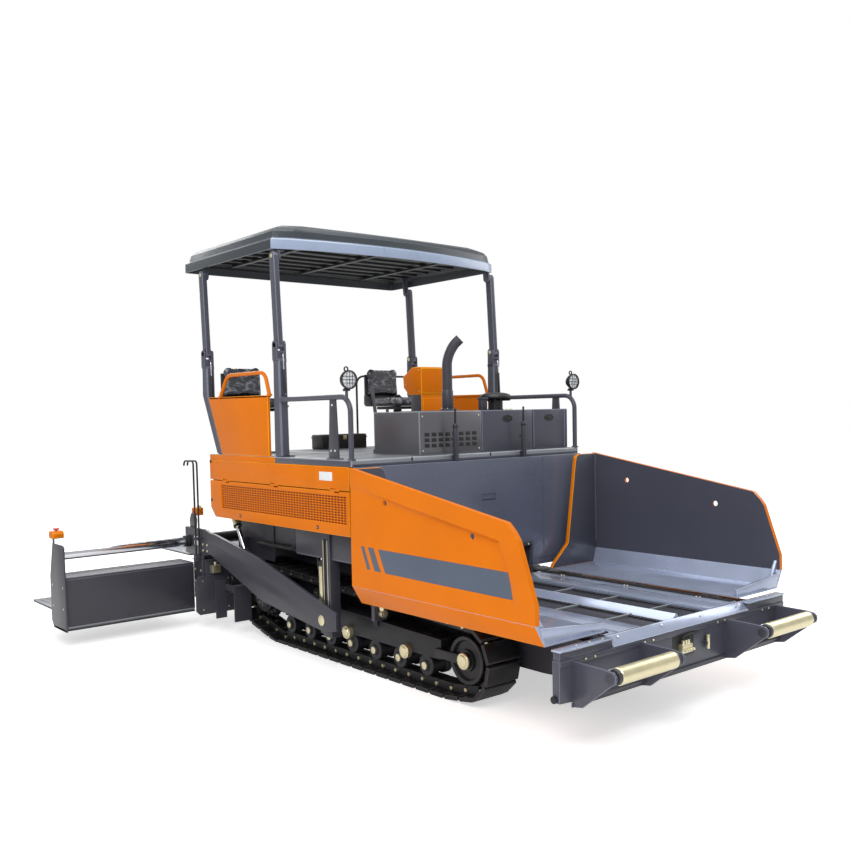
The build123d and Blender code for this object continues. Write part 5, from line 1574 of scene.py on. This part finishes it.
def make_tow_arms():
    """Flat tow arm with its rounded tip, eye, stiffening edge and upright on the screed."""
    y = ARM_Y
    x, z = TOW_PIVOT
    top = [
        (-372, 366), (-360, 378), (-358, 440), (-360, 510), (-372, 524), (-1600, 840), (-2430, 976),
        (-2550, 985), (-2640, 1010), (-3080, 1010), (-3090, 1000), (-3090, 750), (-3080, 740),
        (-2920, 740), (-2920, 306), (-2912, 300), (-2728, 300), (-2720, 306), (-2720, 740), (-2550, 770),
        (-1547, 452), (-564, 341)]
    arm = plate("tow_arm_plate", "xz", top, y, DARK, 3)
    bore = cross("arm_bore", x, z, (y[0] - 30, y[1] + 30), 31, SLATE, 0)
    sleeve = cross("sleeve_bore", -3000, 869, (y[0] - 30, y[1] + 30), 60, SLATE, 0)
    cut(arm, bore, sleeve)
    pieces = [arm]
    boss = turned(
        "arm_boss", at(x, 0, z), ACROSS,
        [(31, y[0] - 8), (58, y[0] - 8), (62, y[0] - 4), (62, y[0] + 1), (31, y[0] + 1)], SLATE, 40)
    pieces += [boss, cross("lift_boss", *LIFT_EYE, (LIFT_Y + 29, y[0] + 1), 40, SLATE, 2)]
    for bx in (-2885, -2755):
        pieces.append(
            bolts("upright_bolts", [at(bx, y[1], bz) for bz in (350, 470, 590)], ACROSS, ZINC, 13, 8))
    pieces += [
        block("arm_label", (-2890, -2800), (y[1] - 1, y[1] + 1.5), (840, 930), LABEL, 0.5),
        bolts("head_bolts", [at(bx, y[1], bz) for bx in (-2690, -2600) for bz in (800, 860)],
              ACROSS, ZINC, 12, 8),
    ]
    place_pair(joined("tow_arm", pieces), "screed", "tow_arms")


def make_lift_cylinders():
    """Lift cylinder fittings: its gland, base ring, and ports for the hose ends."""
    a = Vector((LIFT_TOP[0], LIFT_TOP[1]))
    b = Vector((LIFT_EYE[0], LIFT_EYE[1]))
    way = (b - a).normalized()

    def along(distance, y=LIFT_Y):
        spot = a + way * distance
        return at(spot.x, y, spot.y)

    fittings = [
        rod("lift_gland", along(466), along(490), 41, BLACK, 3),
        rod("lift_base_ring", along(34), along(52), 41, ZINC, 2),
    ]
    for distance in (90, 430):
        fittings.append(
            rod("lift_port", along(distance, LIFT_Y - 30), along(distance, LIFT_Y - 50), 11, ZINC, 2, 12))
    place_pair(joined("lift_barrel_fittings", fittings), "lift_barrel_*")


# ---------------- screed
MAIN_X = (-2920.0, -2720.0)
MAIN_HALF = ARM_Y[0]
SCREED_Z = (150.0, 657.0)
TUBE = (-3000.0, 869.0)
EXT_X = (-3250.0, -2932.0)
EXT_Y = (1242.0, 2531.0)


def make_screed():
    """Main screed box with its ledge, sole plate and the step plate with cut corners."""
    x0, x1 = MAIN_X
    low, top = SCREED_Z
    half = MAIN_HALF - 1
    body = block("screed_box", (x0, x1), (-half, half), (low + 12, top + 40), DARK, 5)
    sole = plate(
        "screed_sole", "xz", [(x0, low), (x1 - 8, low), (x1, low + 8), (x1, low + 14), (x0, low + 14)],
        (-half, half), IRON, 2)
    pieces = [body, sole]
    step_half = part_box("main_screed")[1][1] * 1000
    step = plate(
        "screed_step", "yz",
        [
            (-step_half, 190), (-step_half + 40, 150), (step_half - 40, 150), (step_half, 190),
            (step_half, 500), (step_half - 40, 540), (-step_half + 40, 540), (-step_half, 500)],
        (-2720, -2706), DARK, 3)
    pieces += [
        step,
        bolts("step_bolts", [at(-2706, y, z) for y in range(-1260, 1300, 280) for z in (200, 490)],
              (1, 0, 0), ZINC, 9, 6),
    ]
    for y in range(-1120, 1200, 320):
        pieces.append(
            block("screed_cover", (x0 + 10, x1 - 12), about(y, 150), (top + 38, top + 44), DARK, 2))
    place(joined("main_screed_box", pieces), "screed", "main_screed")


def make_sleeves():
    """Guide sleeves with end collars, and the saddles that hold them to the screed."""
    x, z = TUBE
    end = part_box("guide_sleeves")[1][1] * 1000
    tube = turned(
        "sleeve_tube", at(x, 0, z), ACROSS,
        [
            (50.6, 20), (59, 20), (59, end - 44), (59, end - 40), (59, end - 30), (56, end - 26),
            (56, end - 18), (59, end - 14), (59, end), (50.6, end), (50.6, 20)],
        BLACK, 48)
    pieces = [tube]
    for y in (60, 620):
        pieces += [
            block("saddle", (MAIN_X[0], MAIN_X[0] + 60), (y, y + 16), (697, z + 20), SLATE, 3),
            block("saddle_arm", (MAIN_X[0] - 30, MAIN_X[0] + 2), (y, y + 16), (z - 60, z + 20), SLATE, 3),
        ]
    place_pair(joined("guide_sleeve", pieces), "screed", "guide_sleeves")


def make_walkway():
    """Walkway of ribbed plates with a folded edge, and its straps."""
    x0, x1 = -3830, -3070
    z = (705, 725)
    half = MAIN_HALF
    pieces = [block("walkway_frame", (x0, x1), (-half, half), (z[0], z[1] - 7), DARK, 3)]
    for number in range(6):
        y = -half + 6 + number * (half - 4) / 3
        pieces.append(
            block(
                "walkway_tread", (x0 + 8, x1 - 8), (y, y + (half - 4) / 3 - 8), (z[1] - 8, z[1] - 1.5),
                PLATE, 2))
    for y in (-900, -300, 300, 900):
        pieces += [
            block("walkway_strap", (x1 - 2, MAIN_X[0] + 20), about(y, 15), z, SLATE, 3),
            block("walkway_post", (MAIN_X[0], MAIN_X[0] + 20), about(y, 15), (697, z[1]), SLATE, 3),
        ]
    for number in range(24):
        x = x0 + 24 + number * 30.5
        pieces.append(block("tread_rib", (x, x + 9), (-half + 20, half - 20), (z[1] - 3, z[1]), PLATE, 1))
    place(joined("walkway_plates", pieces), "screed", "screed_walkway")


def make_extensions():
    """Sliding extension: covered box with its ledge, bevel, sole, bolts and layered rear step."""
    x0, x1 = EXT_X
    y0, y1 = EXT_Y
    low, top = SCREED_Z
    body = plate("extension_box", "xz", [
        (x0, low + 12), (x1 - 14, low + 12), (x1, low + 40), (x1, top - 22), (x1 - 16, top), (x0, top)],
        (y0, y1), DARK, 5)
    pieces = [
        body,
        block("extension_ledge", (x1 - 60, x1 - 1), (y0 + 2, y1 - 1), (top - 10, top - 1), SLATE, 3),
        plate("extension_sole", "xz", [(x0, low), (x1 - 10, low), (x1, low + 10), (x1, low + 14),
                                       (x0, low + 14)], (y0, y1 - 1), IRON, 2),
        plate("extension_bevel", "xz", [(x1 - 15, low + 14), (x1 - 13.5, low + 13), (x1 + 0.6, low + 40),
                                        (x1 - 1.5, low + 41)], (y0 + 4, y1 - 4), PLATE, 0),
        bolts("extension_bolts", [at(x1, y, low + 70) for y in range(int(y0) + 120, int(y1) - 60, 190)],
              (1, 0, 0), DARK, 9, 5),
    ]
    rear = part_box("screed_extension_left")[0][0] * 1000 - WALL_X * 1000
    pieces += [
        block("step_base", (rear, x0 + 1), (y0, y1), (300, 314), DARK, 3),
        block("step_tread", (rear + 4, x0 - 30), (y0 + 4, y1 - 4), (313, 325), PLATE, 2),
        block("step_edge", (rear, rear + 14), (y0, y1), (300, 325), DARK, 3),
    ]
    for y in range(int(y0) + 60, int(y1) - 30, 62):
        pieces.append(block("step_rib", (rear + 30, x0 - 50), (y, y + 8), (322, 325), PLATE, 1))
    hatch = block("extension_cover", (x0 + 30, x1 - 80), (y0 + 40, y1 - 40), (top - 2, top), SLATE, 1)
    pieces.append(hatch)
    place_pair(joined("extension_box", pieces), "extension_*", "screed_extension_*")


def make_end_plates():
    """Tapered end plate with its bright guide tube, shoe, bolts, stop box and red button."""
    y = (2531.0, 2545.0)
    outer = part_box("end_plate_left")[1][1] * 1000
    y = (outer - 14, outer)
    sheet = plate("end_sheet", "xz", [(-2890, 150), (-2900, 940), (-2930, 960), (-3200, 960), (-3300, 640),
                                      (-3300, 210), (-3240, 150)], y, DARK, 1.5)
    pieces = [sheet]
    x, z = TUBE
    pieces += [
        cross("guide_tube", x, z, (1228, y[0] + 1), 50, CHROME, 2, 48),
        turned("tube_collar", at(x, 0, z), ACROSS, [(50, y[0] - 4), (60, y[0] - 4), (62, y[0] - 3),
                                                       (62, y[0]), (50, y[0])], SLATE, 40),
        block("wear_shoe", (-3236, -2894), (y[0], y[1]), (150, 172), IRON, 2),
        bolts("end_bolts", [at(bx, y[1] - 0.5, bz) for bx in (-3240, -2960) for bz in (360, 560)],
              ACROSS, ZINC, 12, 0.5),
        block("stop_stem", (-3190, -3170), y, (958, 1002), SLATE, 2),
    ]
    box = plate(
        "stop_box", "xz",
        [
            (-3290, 1012), (-3278, 1000), (-3182, 1000), (-3170, 1012), (-3170, 1050), (-3190, 1070),
            (-3270, 1070), (-3290, 1050)],
        (y[0] - 90, y[1]), ORANGE, 5, 3)
    pieces += [box, upright("stop_neck", -3230, y[0] - 38, (1066, 1069), 28, BLACK, 1)]
    place_pair(joined("end_plate_sheet", pieces), "extension_*", "end_plate_*")
    button = turned(
        "stop_button", at(-3230, y[0] - 38, 0), UP,
        [(0, 1068), (12, 1068), (12, 1078), (26, 1082), (28, 1088), (24, 1098), (10, 1102), (0, 1102)],
        RED, 28)
    place_pair(button, "extension_*")


def make_screed_controls():
    """Control boxes, valves and hooked tubes on the screed beside each arm."""
    pieces = [
        block("control_box", (-2900, -2740), (1040, 1200), (760, 900), ORANGE, 8),
        block("control_foot", (-2880, -2760), (1060, 1180), (697, 762), DARK, 4),
        block("control_label", (-2741, -2739), (1070, 1150), (800, 850), LABEL, 1),
    ]
    for y in (1070, 1110, 1150):
        pieces.append(upright("control_knob", -2820, y, (898, 918), 11, BLACK, 3, 20))
    pieces += [
        block("valve", (-2720, -2660), (1080, 1170), (560, 640), ZINC, 5),
        upright("valve_cap", -2690, 1125, (638, 672), 18, ZINC, 3, 20),
    ]
    for y in (1262, 1300):
        pieces.append(pipe("hooked_tube", [at(-2750, y, 700), at(-2750, y, 1690), at(-2950, y, 1690),
                                           at(-2962, y, 1640)], 9, BLACK, 36, 5))
    pieces += [
        block("tube_clamp", (-2764, -2736), (1250, 1314), (900, 930), DARK, 3),
        block("tube_socket", (-2768, -2732), (1250, 1316), (690, 742), DARK, 3),
    ]
    head = [(-3010, 1000), (-2876, 1000), (-2860, 1096), (-2894, 1156), (-2980, 1150), (-3018, 1080)]
    pieces += [
        plate("head_plate", "xz", head, (1222, 1232), DARK, 2),
        block("head_post", (-2954, -2930), (1196, 1221), (985, 1190), BACKING, 3),
        block("head_box", (-2990, -2894), (1136, 1220), (1130, 1206), ORANGE, 5),
    ]
    for x in (-2972, -2942, -2912):
        pieces.append(upright("head_valve", x, 1160, (1205, 1228), 9, ZINC, 2, 12))
    place_pair(joined("screed_controls", pieces), "screed")


# ---------------- augers
AUGER = (-2548.0, 400.0)


def make_augers():
    """Auger with a true helical flight on its shaft, and end bearing."""
    x, z = AUGER
    y0, y1 = 62.0, 1118.0
    shaft = cross("auger_shaft", x, z, (y0, y1), 40, IRON, 2)
    pitch = 250.0
    turns = (1085 - 90) / pitch
    line = chain("auger_flight", [at(x + 38, 90, z), at(x + 131, 90, z)], SHOE)
    steps = 28
    bpy.ops.mesh.select_all(action="SELECT")
    for _ in range(int(turns * steps)):
        bpy.ops.mesh.extrude_region_move()
        bpy.ops.transform.rotate(value=-math.tau / steps, orient_axis="Y", center_override=at(x, 0, z))
        bpy.ops.transform.translate(value=(0, pitch / steps / 1000, 0))
    rest()
    outwards(line)
    applied(line, "SOLIDIFY", thickness=0.012, offset=0)
    smooth(line, 40)
    bearing = cross("auger_bearing", x, z, (1096, y1), 62, DARK, 3)
    auger = joined("auger_screw", shaft, line, bearing)
    place_pair(auger, "auger_*", "auger_*")


def make_auger_case():
    """Drive case between the augers with its cover and bolts, and the limiting plates' bolts."""
    x = AUGER[0]
    case = plate(
        "auger_case", "yz", [(-60, 1000), (-60, 340), (-40, 320), (40, 320), (60, 340), (60, 1000)],
        about(x, 70), DARK, 6)
    cover = block("case_cover", (x - 76, x - 68), (-46, 46), (360, 960), SLATE, 3)
    pieces = [
        case,
        cover,
        bolts("case_bolts", [at(x - 76, y, bz) for y in (-36, 36) for bz in (400, 660, 920)],
              (-1, 0, 0), ZINC, 8, 6),
        block("case_hanger", (x + 70, -2384), (-60, 60), (700, 1000), DARK, 5),
        block("case_saddle", (-2385, -2320), (-560, 560), (920, 1000), DARK, 4),
    ]
    place(joined("auger_drive_case", pieces), "machine", "auger_hanger")


# ---------------- tracks
TRACK_Y = (687.0, 1007.0)
IDLER = (892.0, 316.0, 290.0)          # place along, height, radius over the shoes
SPROCKET = (-2060.0, 410.0, 335.0)
CONTACT = (-1800.0, 700.0)             # where the shoes stand on the ground
SHOE_COUNT = 46
BELT_T = 105.0


def on_circle(centre, radius, angle):
    """Point of a circle beside the machine, its angle from forwards to upwards."""
    return Vector((centre[0] + radius * math.cos(angle), centre[1] + radius * math.sin(angle)))


def track_legs():
    """Straight and round legs of the shoes' path, from the ground at the rear, forwards and round."""
    ix, iz, ir = IDLER
    sx, sz, sr = SPROCKET
    rear, front = CONTACT
    span = math.hypot(sx - ix, sz - iz)
    top = math.atan2(sz - iz, sx - ix) - math.acos((ir - sr) / span)
    rise = math.atan2(-iz, front - ix) + math.acos(ir / math.hypot(front - ix, iz))
    low = math.atan2(-sz, rear - sx) - math.acos(sr / math.hypot(rear - sx, sz)) + math.tau
    down = -math.pi / 2
    return [
        ("line", Vector((rear, 0)), Vector((front, 0)), down),
        ("line", Vector((front, 0)), on_circle((ix, iz), ir, rise), rise),
        ("arc", (ix, iz), ir, rise, top),
        ("line", on_circle((ix, iz), ir, top), on_circle((sx, sz), sr, top), top),
        ("arc", (sx, sz), sr, top, low),
        ("line", on_circle((sx, sz), sr, low), Vector((rear, 0)), low),
    ]


def leg_length(leg):
    """Length of one leg of the path."""
    if leg[0] == "line":
        return (leg[2] - leg[1]).length
    return leg[2] * (leg[4] - leg[3])


def on_track(legs, along):
    """Place on the path and the way its outer side faces."""
    for leg in legs:
        length = leg_length(leg)
        if along <= length:
            break
        along -= length
    if leg[0] == "line":
        return leg[1].lerp(leg[2], along / length), leg[3]
    angle = leg[3] + along / leg[2]
    return on_circle(leg[1], leg[2], angle), angle


def track_shoe(pitch):
    """One shoe standing on the ground at the wall: pad, bolts and its pair of chain links."""
    half = pitch / 2
    y0, y1 = TRACK_Y
    pad = plate("shoe_pad", "xz", [
        (-0.44 * pitch, 32), (-0.44 * pitch, 10), (-0.40 * pitch, 0), (0.40 * pitch, 0), (0.44 * pitch, 10),
        (0.44 * pitch, 32)], (y0, y1), SHOE, 3, 1)
    pieces = [pad]
    for y in (y0 + 96, y1 - 136):
        link = plate(
            "chain_link", "xz",
            [
                (-half - 8, 38), (half - 20, 30), (half + 8, 62), (half - 4, 96), (-half + 10, 96),
                (-half - 20, 62)],
            (y, y + 38), IRON, 0)
        pieces.append(link)
    pieces.append(cross("chain_pin", half - 6, 62, (y0 + 84, y1 - 84), 15, ZINC, 0, 8))
    return joined("track_shoe", pieces)


def make_tracks():
    """Closed loop of shoes on each side."""
    legs = track_legs()
    pitch = sum(leg_length(leg) for leg in legs) / SHOE_COUNT
    shoe = track_shoe(pitch)
    home = at(0, 0, 0)
    loop = []
    for number in range(SHOE_COUNT):
        spot, facing = on_track(legs, (number + 1) * pitch)
        turn = Matrix.Rotation(-(facing + math.pi / 2), 4, "Y")
        where = Matrix.Translation(at(spot.x, 0, spot.y)) @ turn @ Matrix.Translation(-home)
        loop.append(moved(shoe, "track_shoe", where))
    bpy.data.objects.remove(shoe)
    shoes = joined("track_shoes", loop)
    for vert in shoes.data.vertices:
        vert.co.z = max(vert.co.z, 0.0)
    place_pair(shoes, "machine", "track_*")


# ---------------- undercarriages
WHEEL_MID = (TRACK_Y[0] + TRACK_Y[1]) / 2
WHEEL_Y = about(WHEEL_MID, 110)
BEAM_Y = (745.0, 950.0)
HUBS = ((892, 316, WHEEL_Y[1] + 19, 62), (195, 262, BEAM_Y[1], 56), (-600, 280, BEAM_Y[1], 56))


def make_undercarriages():
    """Track frame with idler, sprocket, track rollers, carrier rollers, fork and hub caps."""
    y0, y1 = WHEEL_Y
    ix, iz, ir = IDLER[0], IDLER[1], IDLER[2] - BELT_T - 4
    sx, sz, sr = SPROCKET[0], SPROCKET[1], SPROCKET[2] - BELT_T - 4
    beam = plate(
        "track_beam", "xz", [(-1650, 262), (600, 262), (600, 420), (-1700, 480)], BEAM_Y, IRON, 8, 3)
    pieces = [
        beam,
        turned("idler_wheel", at(ix, 0, iz), ACROSS, [
(40, y0), (80, y0), (84, y0 + 20), (140, y0 + 26), (150, y0 + 4), (ir - 6, y0), (ir, y0 + 6), (ir, y1 - 6),
(ir - 6, y1), (150, y1 - 4), (140, y1 - 26), (84, y1 - 20), (80, y1), (40, y1)], IRON, 48),
        sprocket_wheel(sx, sz, sr),
        cross("drive_motor", sx, sz, (620, y1 + 2), 128, DARK, 6, 40),
        cross("drive_cover", sx, sz, (y1, y1 + 20), 112, DARK, 6, 40),
    ]
    spots = [at(sx + 86 * math.cos(k * math.tau / 10), y1 + 17, sz + 86 * math.sin(k * math.tau / 10))
             for k in range(10)]
    pieces.append(bolts("drive_bolts", spots, ACROSS, ZINC, 9, 5))
    for y in ((BEAM_Y[1] - 6, y1 + 20), (y0 - 20, BEAM_Y[0] + 6)):
        pieces.append(block("idler_fork", (560, ix + 60), y, (285, 352), IRON, 5))
    pieces += [
        cross("idler_axle", ix, iz, (y0 - 20, y1 + 20), 40, ZINC, 3),
        plate("rear_arm", "xz", [(-1660, 280), (sx, sz - 60), (sx, sz + 60), (-1700, 470)],
              (BEAM_Y[1] - 6, y1 + 4), IRON, 4),
    ]
    roller_x = [-1560 + number * 330 for number in range(7)]
    roller = turned(
        "track_roller", at(roller_x[0], 0, 189), ACROSS,
        [
            (0, y0), (40, y0), (44, y0 + 8), (80, y0 + 10), (84, y0 + 14), (84, y0 + 60), (70, y0 + 66),
            (70, y1 - 66), (84, y1 - 60), (84, y1 - 14), (80, y1 - 10), (44, y1 - 8), (40, y1), (0, y1)],
        IRON, 28)
    cap = cross("roller_cap", roller_x[0], 189, (y1 - 1, y1 + 14), 30, ZINC, 3, 20)
    pieces.append(row_of(joined("track_roller", roller, cap), 7, (330, 0, 0), "track_rollers"))
    for x in (-1100, -200):
        top_run = iz + ir + (x - ix) * (sz + sr - iz - ir) / (sx - ix)
        pieces += [
            cross("carrier_roller", x, top_run - 62, (y0 + 4, y1 - 4), 57, IRON, 5),
            cross("carrier_cap", x, top_run - 62, (y1 - 6, y1), 26, ZINC, 3, 20),
            block("carrier_bracket", about(x, 25), (y1 - 60, y1 + 15), (400, top_run - 44), IRON, 4),
        ]
    for x, z, start, radius in HUBS:
        pieces.append(hub_cap(x, z, start, radius))
    for x in (-1500, -500, 300):
        pieces.append(
            block("beam_saddle", (x + 6, x + 154), (BEAM_Y[0] - 8, BEAM_Y[1] - 40), (416, 428), IRON, 3))
    place_pair(joined("track_frame", pieces), "machine", "undercarriage_*")


def hub_cap(x, z, start, radius):
    """Plated hub cap with a stepped face and a ring of bolts."""
    end = TRACK_Y[1] - 4
    cap = turned("hub_cap", at(x, 0, z), ACROSS, [
        (0, start), (radius, start), (radius, end - 16), (radius - 4, end - 12), (radius - 16, end - 10),
        (radius - 20, end - 4), (radius - 24, end - 3), (0, end - 3)], ZINC, 40)
    ring = radius - 9
    spots = [at(x + ring * math.cos(k * math.tau / 6), end - 12, z + ring * math.sin(k * math.tau / 6))
             for k in range(6)]
    return joined("hub_cap", cap, bolts("hub_bolts", spots, ACROSS, ZINC, 5, 5))


def sprocket_wheel(x, z, radius):
    """Toothed drive wheel."""
    y0, y1 = WHEEL_MID - 46, WHEEL_MID + 46
    teeth = 17
    outline = []
    for number in range(teeth):
        for part, reach in ((0.0, 26), (0.24, 26), (0.42, 2), (0.58, 2), (0.76, 26)):
            spot = on_circle((x, z), radius - reach, (number + part) * math.tau / teeth)
            outline.append((spot.x, spot.y))
    wheel = plate("drive_sprocket", "xz", outline, (y0, y1), IRON, 2, 1)
    drum = cross("sprocket_drum", x, z, (WHEEL_Y[0], WHEEL_Y[1] - 8), radius - 52, IRON, 6, 40)
    return joined("drive_sprocket", wheel, drum)


# ---------------- carried-over solids, light and camera
def dress_plain_nodes():
    """Give every node that still shows the finish of its material slot."""
    by_slot = {}
    for paint in (ORANGE, SLATE, DARK, ROOFING, SHOE, IRON, ZINC, CHROME, PLATE, BLACK, ENGINE):
        by_slot.setdefault(paint["slot"], paint)
    by_slot["seat_black"] = RUBBER
    for part in frame["record"]["subparts"]:
        node = frame["nodes"][part["node"]]
        paint = OWN_PAINT.get(part["node"], by_slot[part["material_slot"]])
        node.data.materials.clear()
        node.data.materials.append(paint["face"])


OWN_PAINT = {"hopper_rear_wall": SLATE}
WHITE = (1, 1, 1, 1)


def make_floor():
    """Pale floor that shows white to the camera and keeps the machine's shadow."""
    rest()
    bpy.ops.mesh.primitive_plane_add(size=120, location=(0, 0, -0.002))
    floor = bpy.context.active_object
    floor.name = "floor"
    material = bpy.data.materials.new("pale_floor")
    material.use_nodes = True
    tree = material.node_tree
    shader = set_inputs(tree.nodes["Principled BSDF"], Base_Color=(0.82, 0.82, 0.82, 1), Roughness=0.9)
    glow = set_inputs(tree.nodes.new("ShaderNodeEmission"), Color=WHITE)
    ray = tree.nodes.new("ShaderNodeLightPath")
    strength = tree.nodes.new("ShaderNodeMath")
    strength.operation = "MULTIPLY_ADD"
    strength.inputs[1].default_value = 0.34
    strength.inputs[2].default_value = 0.2
    tree.links.new(ray.outputs["Is Camera Ray"], strength.inputs[0])
    tree.links.new(strength.outputs["Value"], glow.inputs["Strength"])
    both = tree.nodes.new("ShaderNodeAddShader")
    tree.links.new(shader.outputs["BSDF"], both.inputs[0])
    tree.links.new(glow.outputs["Emission"], both.inputs[1])
    tree.links.new(both.outputs["Shader"], tree.nodes["Material Output"].inputs["Surface"])
    floor.data.materials.append(material)


def make_world():
    """Even sky that is white to the camera and through glass."""
    world = bpy.data.worlds.new("studio_sky")
    bpy.context.scene.world = world
    world.use_nodes = True
    tree = world.node_tree
    light = set_inputs(tree.nodes["Background"], Color=WHITE, Strength=0.62)
    white = set_inputs(tree.nodes.new("ShaderNodeBackground"), Color=WHITE, Strength=1.0)
    ray = tree.nodes.new("ShaderNodeLightPath")
    seen = tree.nodes.new("ShaderNodeMath")
    seen.operation = "MAXIMUM"
    tree.links.new(ray.outputs["Is Camera Ray"], seen.inputs[0])
    tree.links.new(ray.outputs["Is Transmission Ray"], seen.inputs[1])
    mix = tree.nodes.new("ShaderNodeMixShader")
    tree.links.new(seen.outputs["Value"], mix.inputs["Fac"])
    tree.links.new(light.outputs["Background"], mix.inputs[1])
    tree.links.new(white.outputs["Background"], mix.inputs[2])
    tree.links.new(mix.outputs["Shader"], tree.nodes["World Output"].inputs["Surface"])


def lamp(name, spot, aim, size, power):
    """Soft square lamp pointed at a place."""
    bpy.ops.object.light_add(type="AREA", location=spot)
    light = bpy.context.active_object
    light.name = name
    light.data.shape = "SQUARE"
    light.data.size = size
    light.data.energy = power
    light.rotation_euler = (Vector(spot) - Vector(aim)).to_track_quat("Z", "Y").to_euler()


LIGHTS = (                # name, place, height it points at, width, power
    ("key", (6.5, -7.5, 8.5), 1.2, 5.0, 620),
    ("top", (-0.5, -1.0, 9.5), 0, 7.0, 420),
    ("left", (2.0, 9.0, 6.0), 1.2, 5.0, 260),
    ("rear", (-9.0, 1.0, 6.0), 1.2, 5.0, 260),
)


def make_lights():
    make_world()
    for name, spot, aim_height, size, power in LIGHTS:
        lamp(name, spot, (0, 0, aim_height), size, power)


CAMERA_TURN = (49.86, 3.11, -1.14)    # heading, dip and roll in degrees


def make_camera():
    """Standing person's view from ahead of the machine and to its right."""
    bpy.ops.object.camera_add(location=(6.6778, -5.4479, 2.1313))
    camera = bpy.context.active_object
    camera.name = "camera"
    camera.data.sensor_width = 36.0
    camera.data.lens = 39.87
    camera.data.shift_x = -0.0172
    camera.data.shift_y = 0.0447
    heading, dip, roll = (math.radians(angle) for angle in CAMERA_TURN)
    turn = Matrix.Rotation(heading, 3, "Z") @ Matrix.Rotation(math.pi / 2 - dip, 3, "X")
    camera.rotation_euler = (turn @ Matrix.Rotation(roll, 3, "Z")).to_euler()
    bpy.context.scene.camera = camera


def main():
    dress_plain_nodes()
    make_wings()
    make_hopper_floor()
    make_rear_wall()
    make_front_beam()
    make_push_rollers()
    make_wing_cylinders()
    make_side_doors()
    make_side_panels()
    make_engine_bay_details()
    make_lower_posts()
    make_links()
    make_canopy()
    make_deck()
    make_guards()
    make_handrails()
    make_work_lamps()
    make_hood()
    make_stack()
    make_precleaner()
    make_console()
    make_levers()
    make_deck_fittings()
    make_seats()
    make_tow_brackets()
    make_levelling()
    make_tow_arms()
    make_lift_cylinders()
    make_screed()
    make_sleeves()
    make_walkway()
    make_extensions()
    make_end_plates()
    make_screed_controls()
    make_augers()
    make_auger_case()
    make_tracks()
    make_undercarriages()
    make_floor()
    make_lights()
    make_camera()
    bpy.context.scene.view_settings.view_transform = "Standard"
    rest()


main()
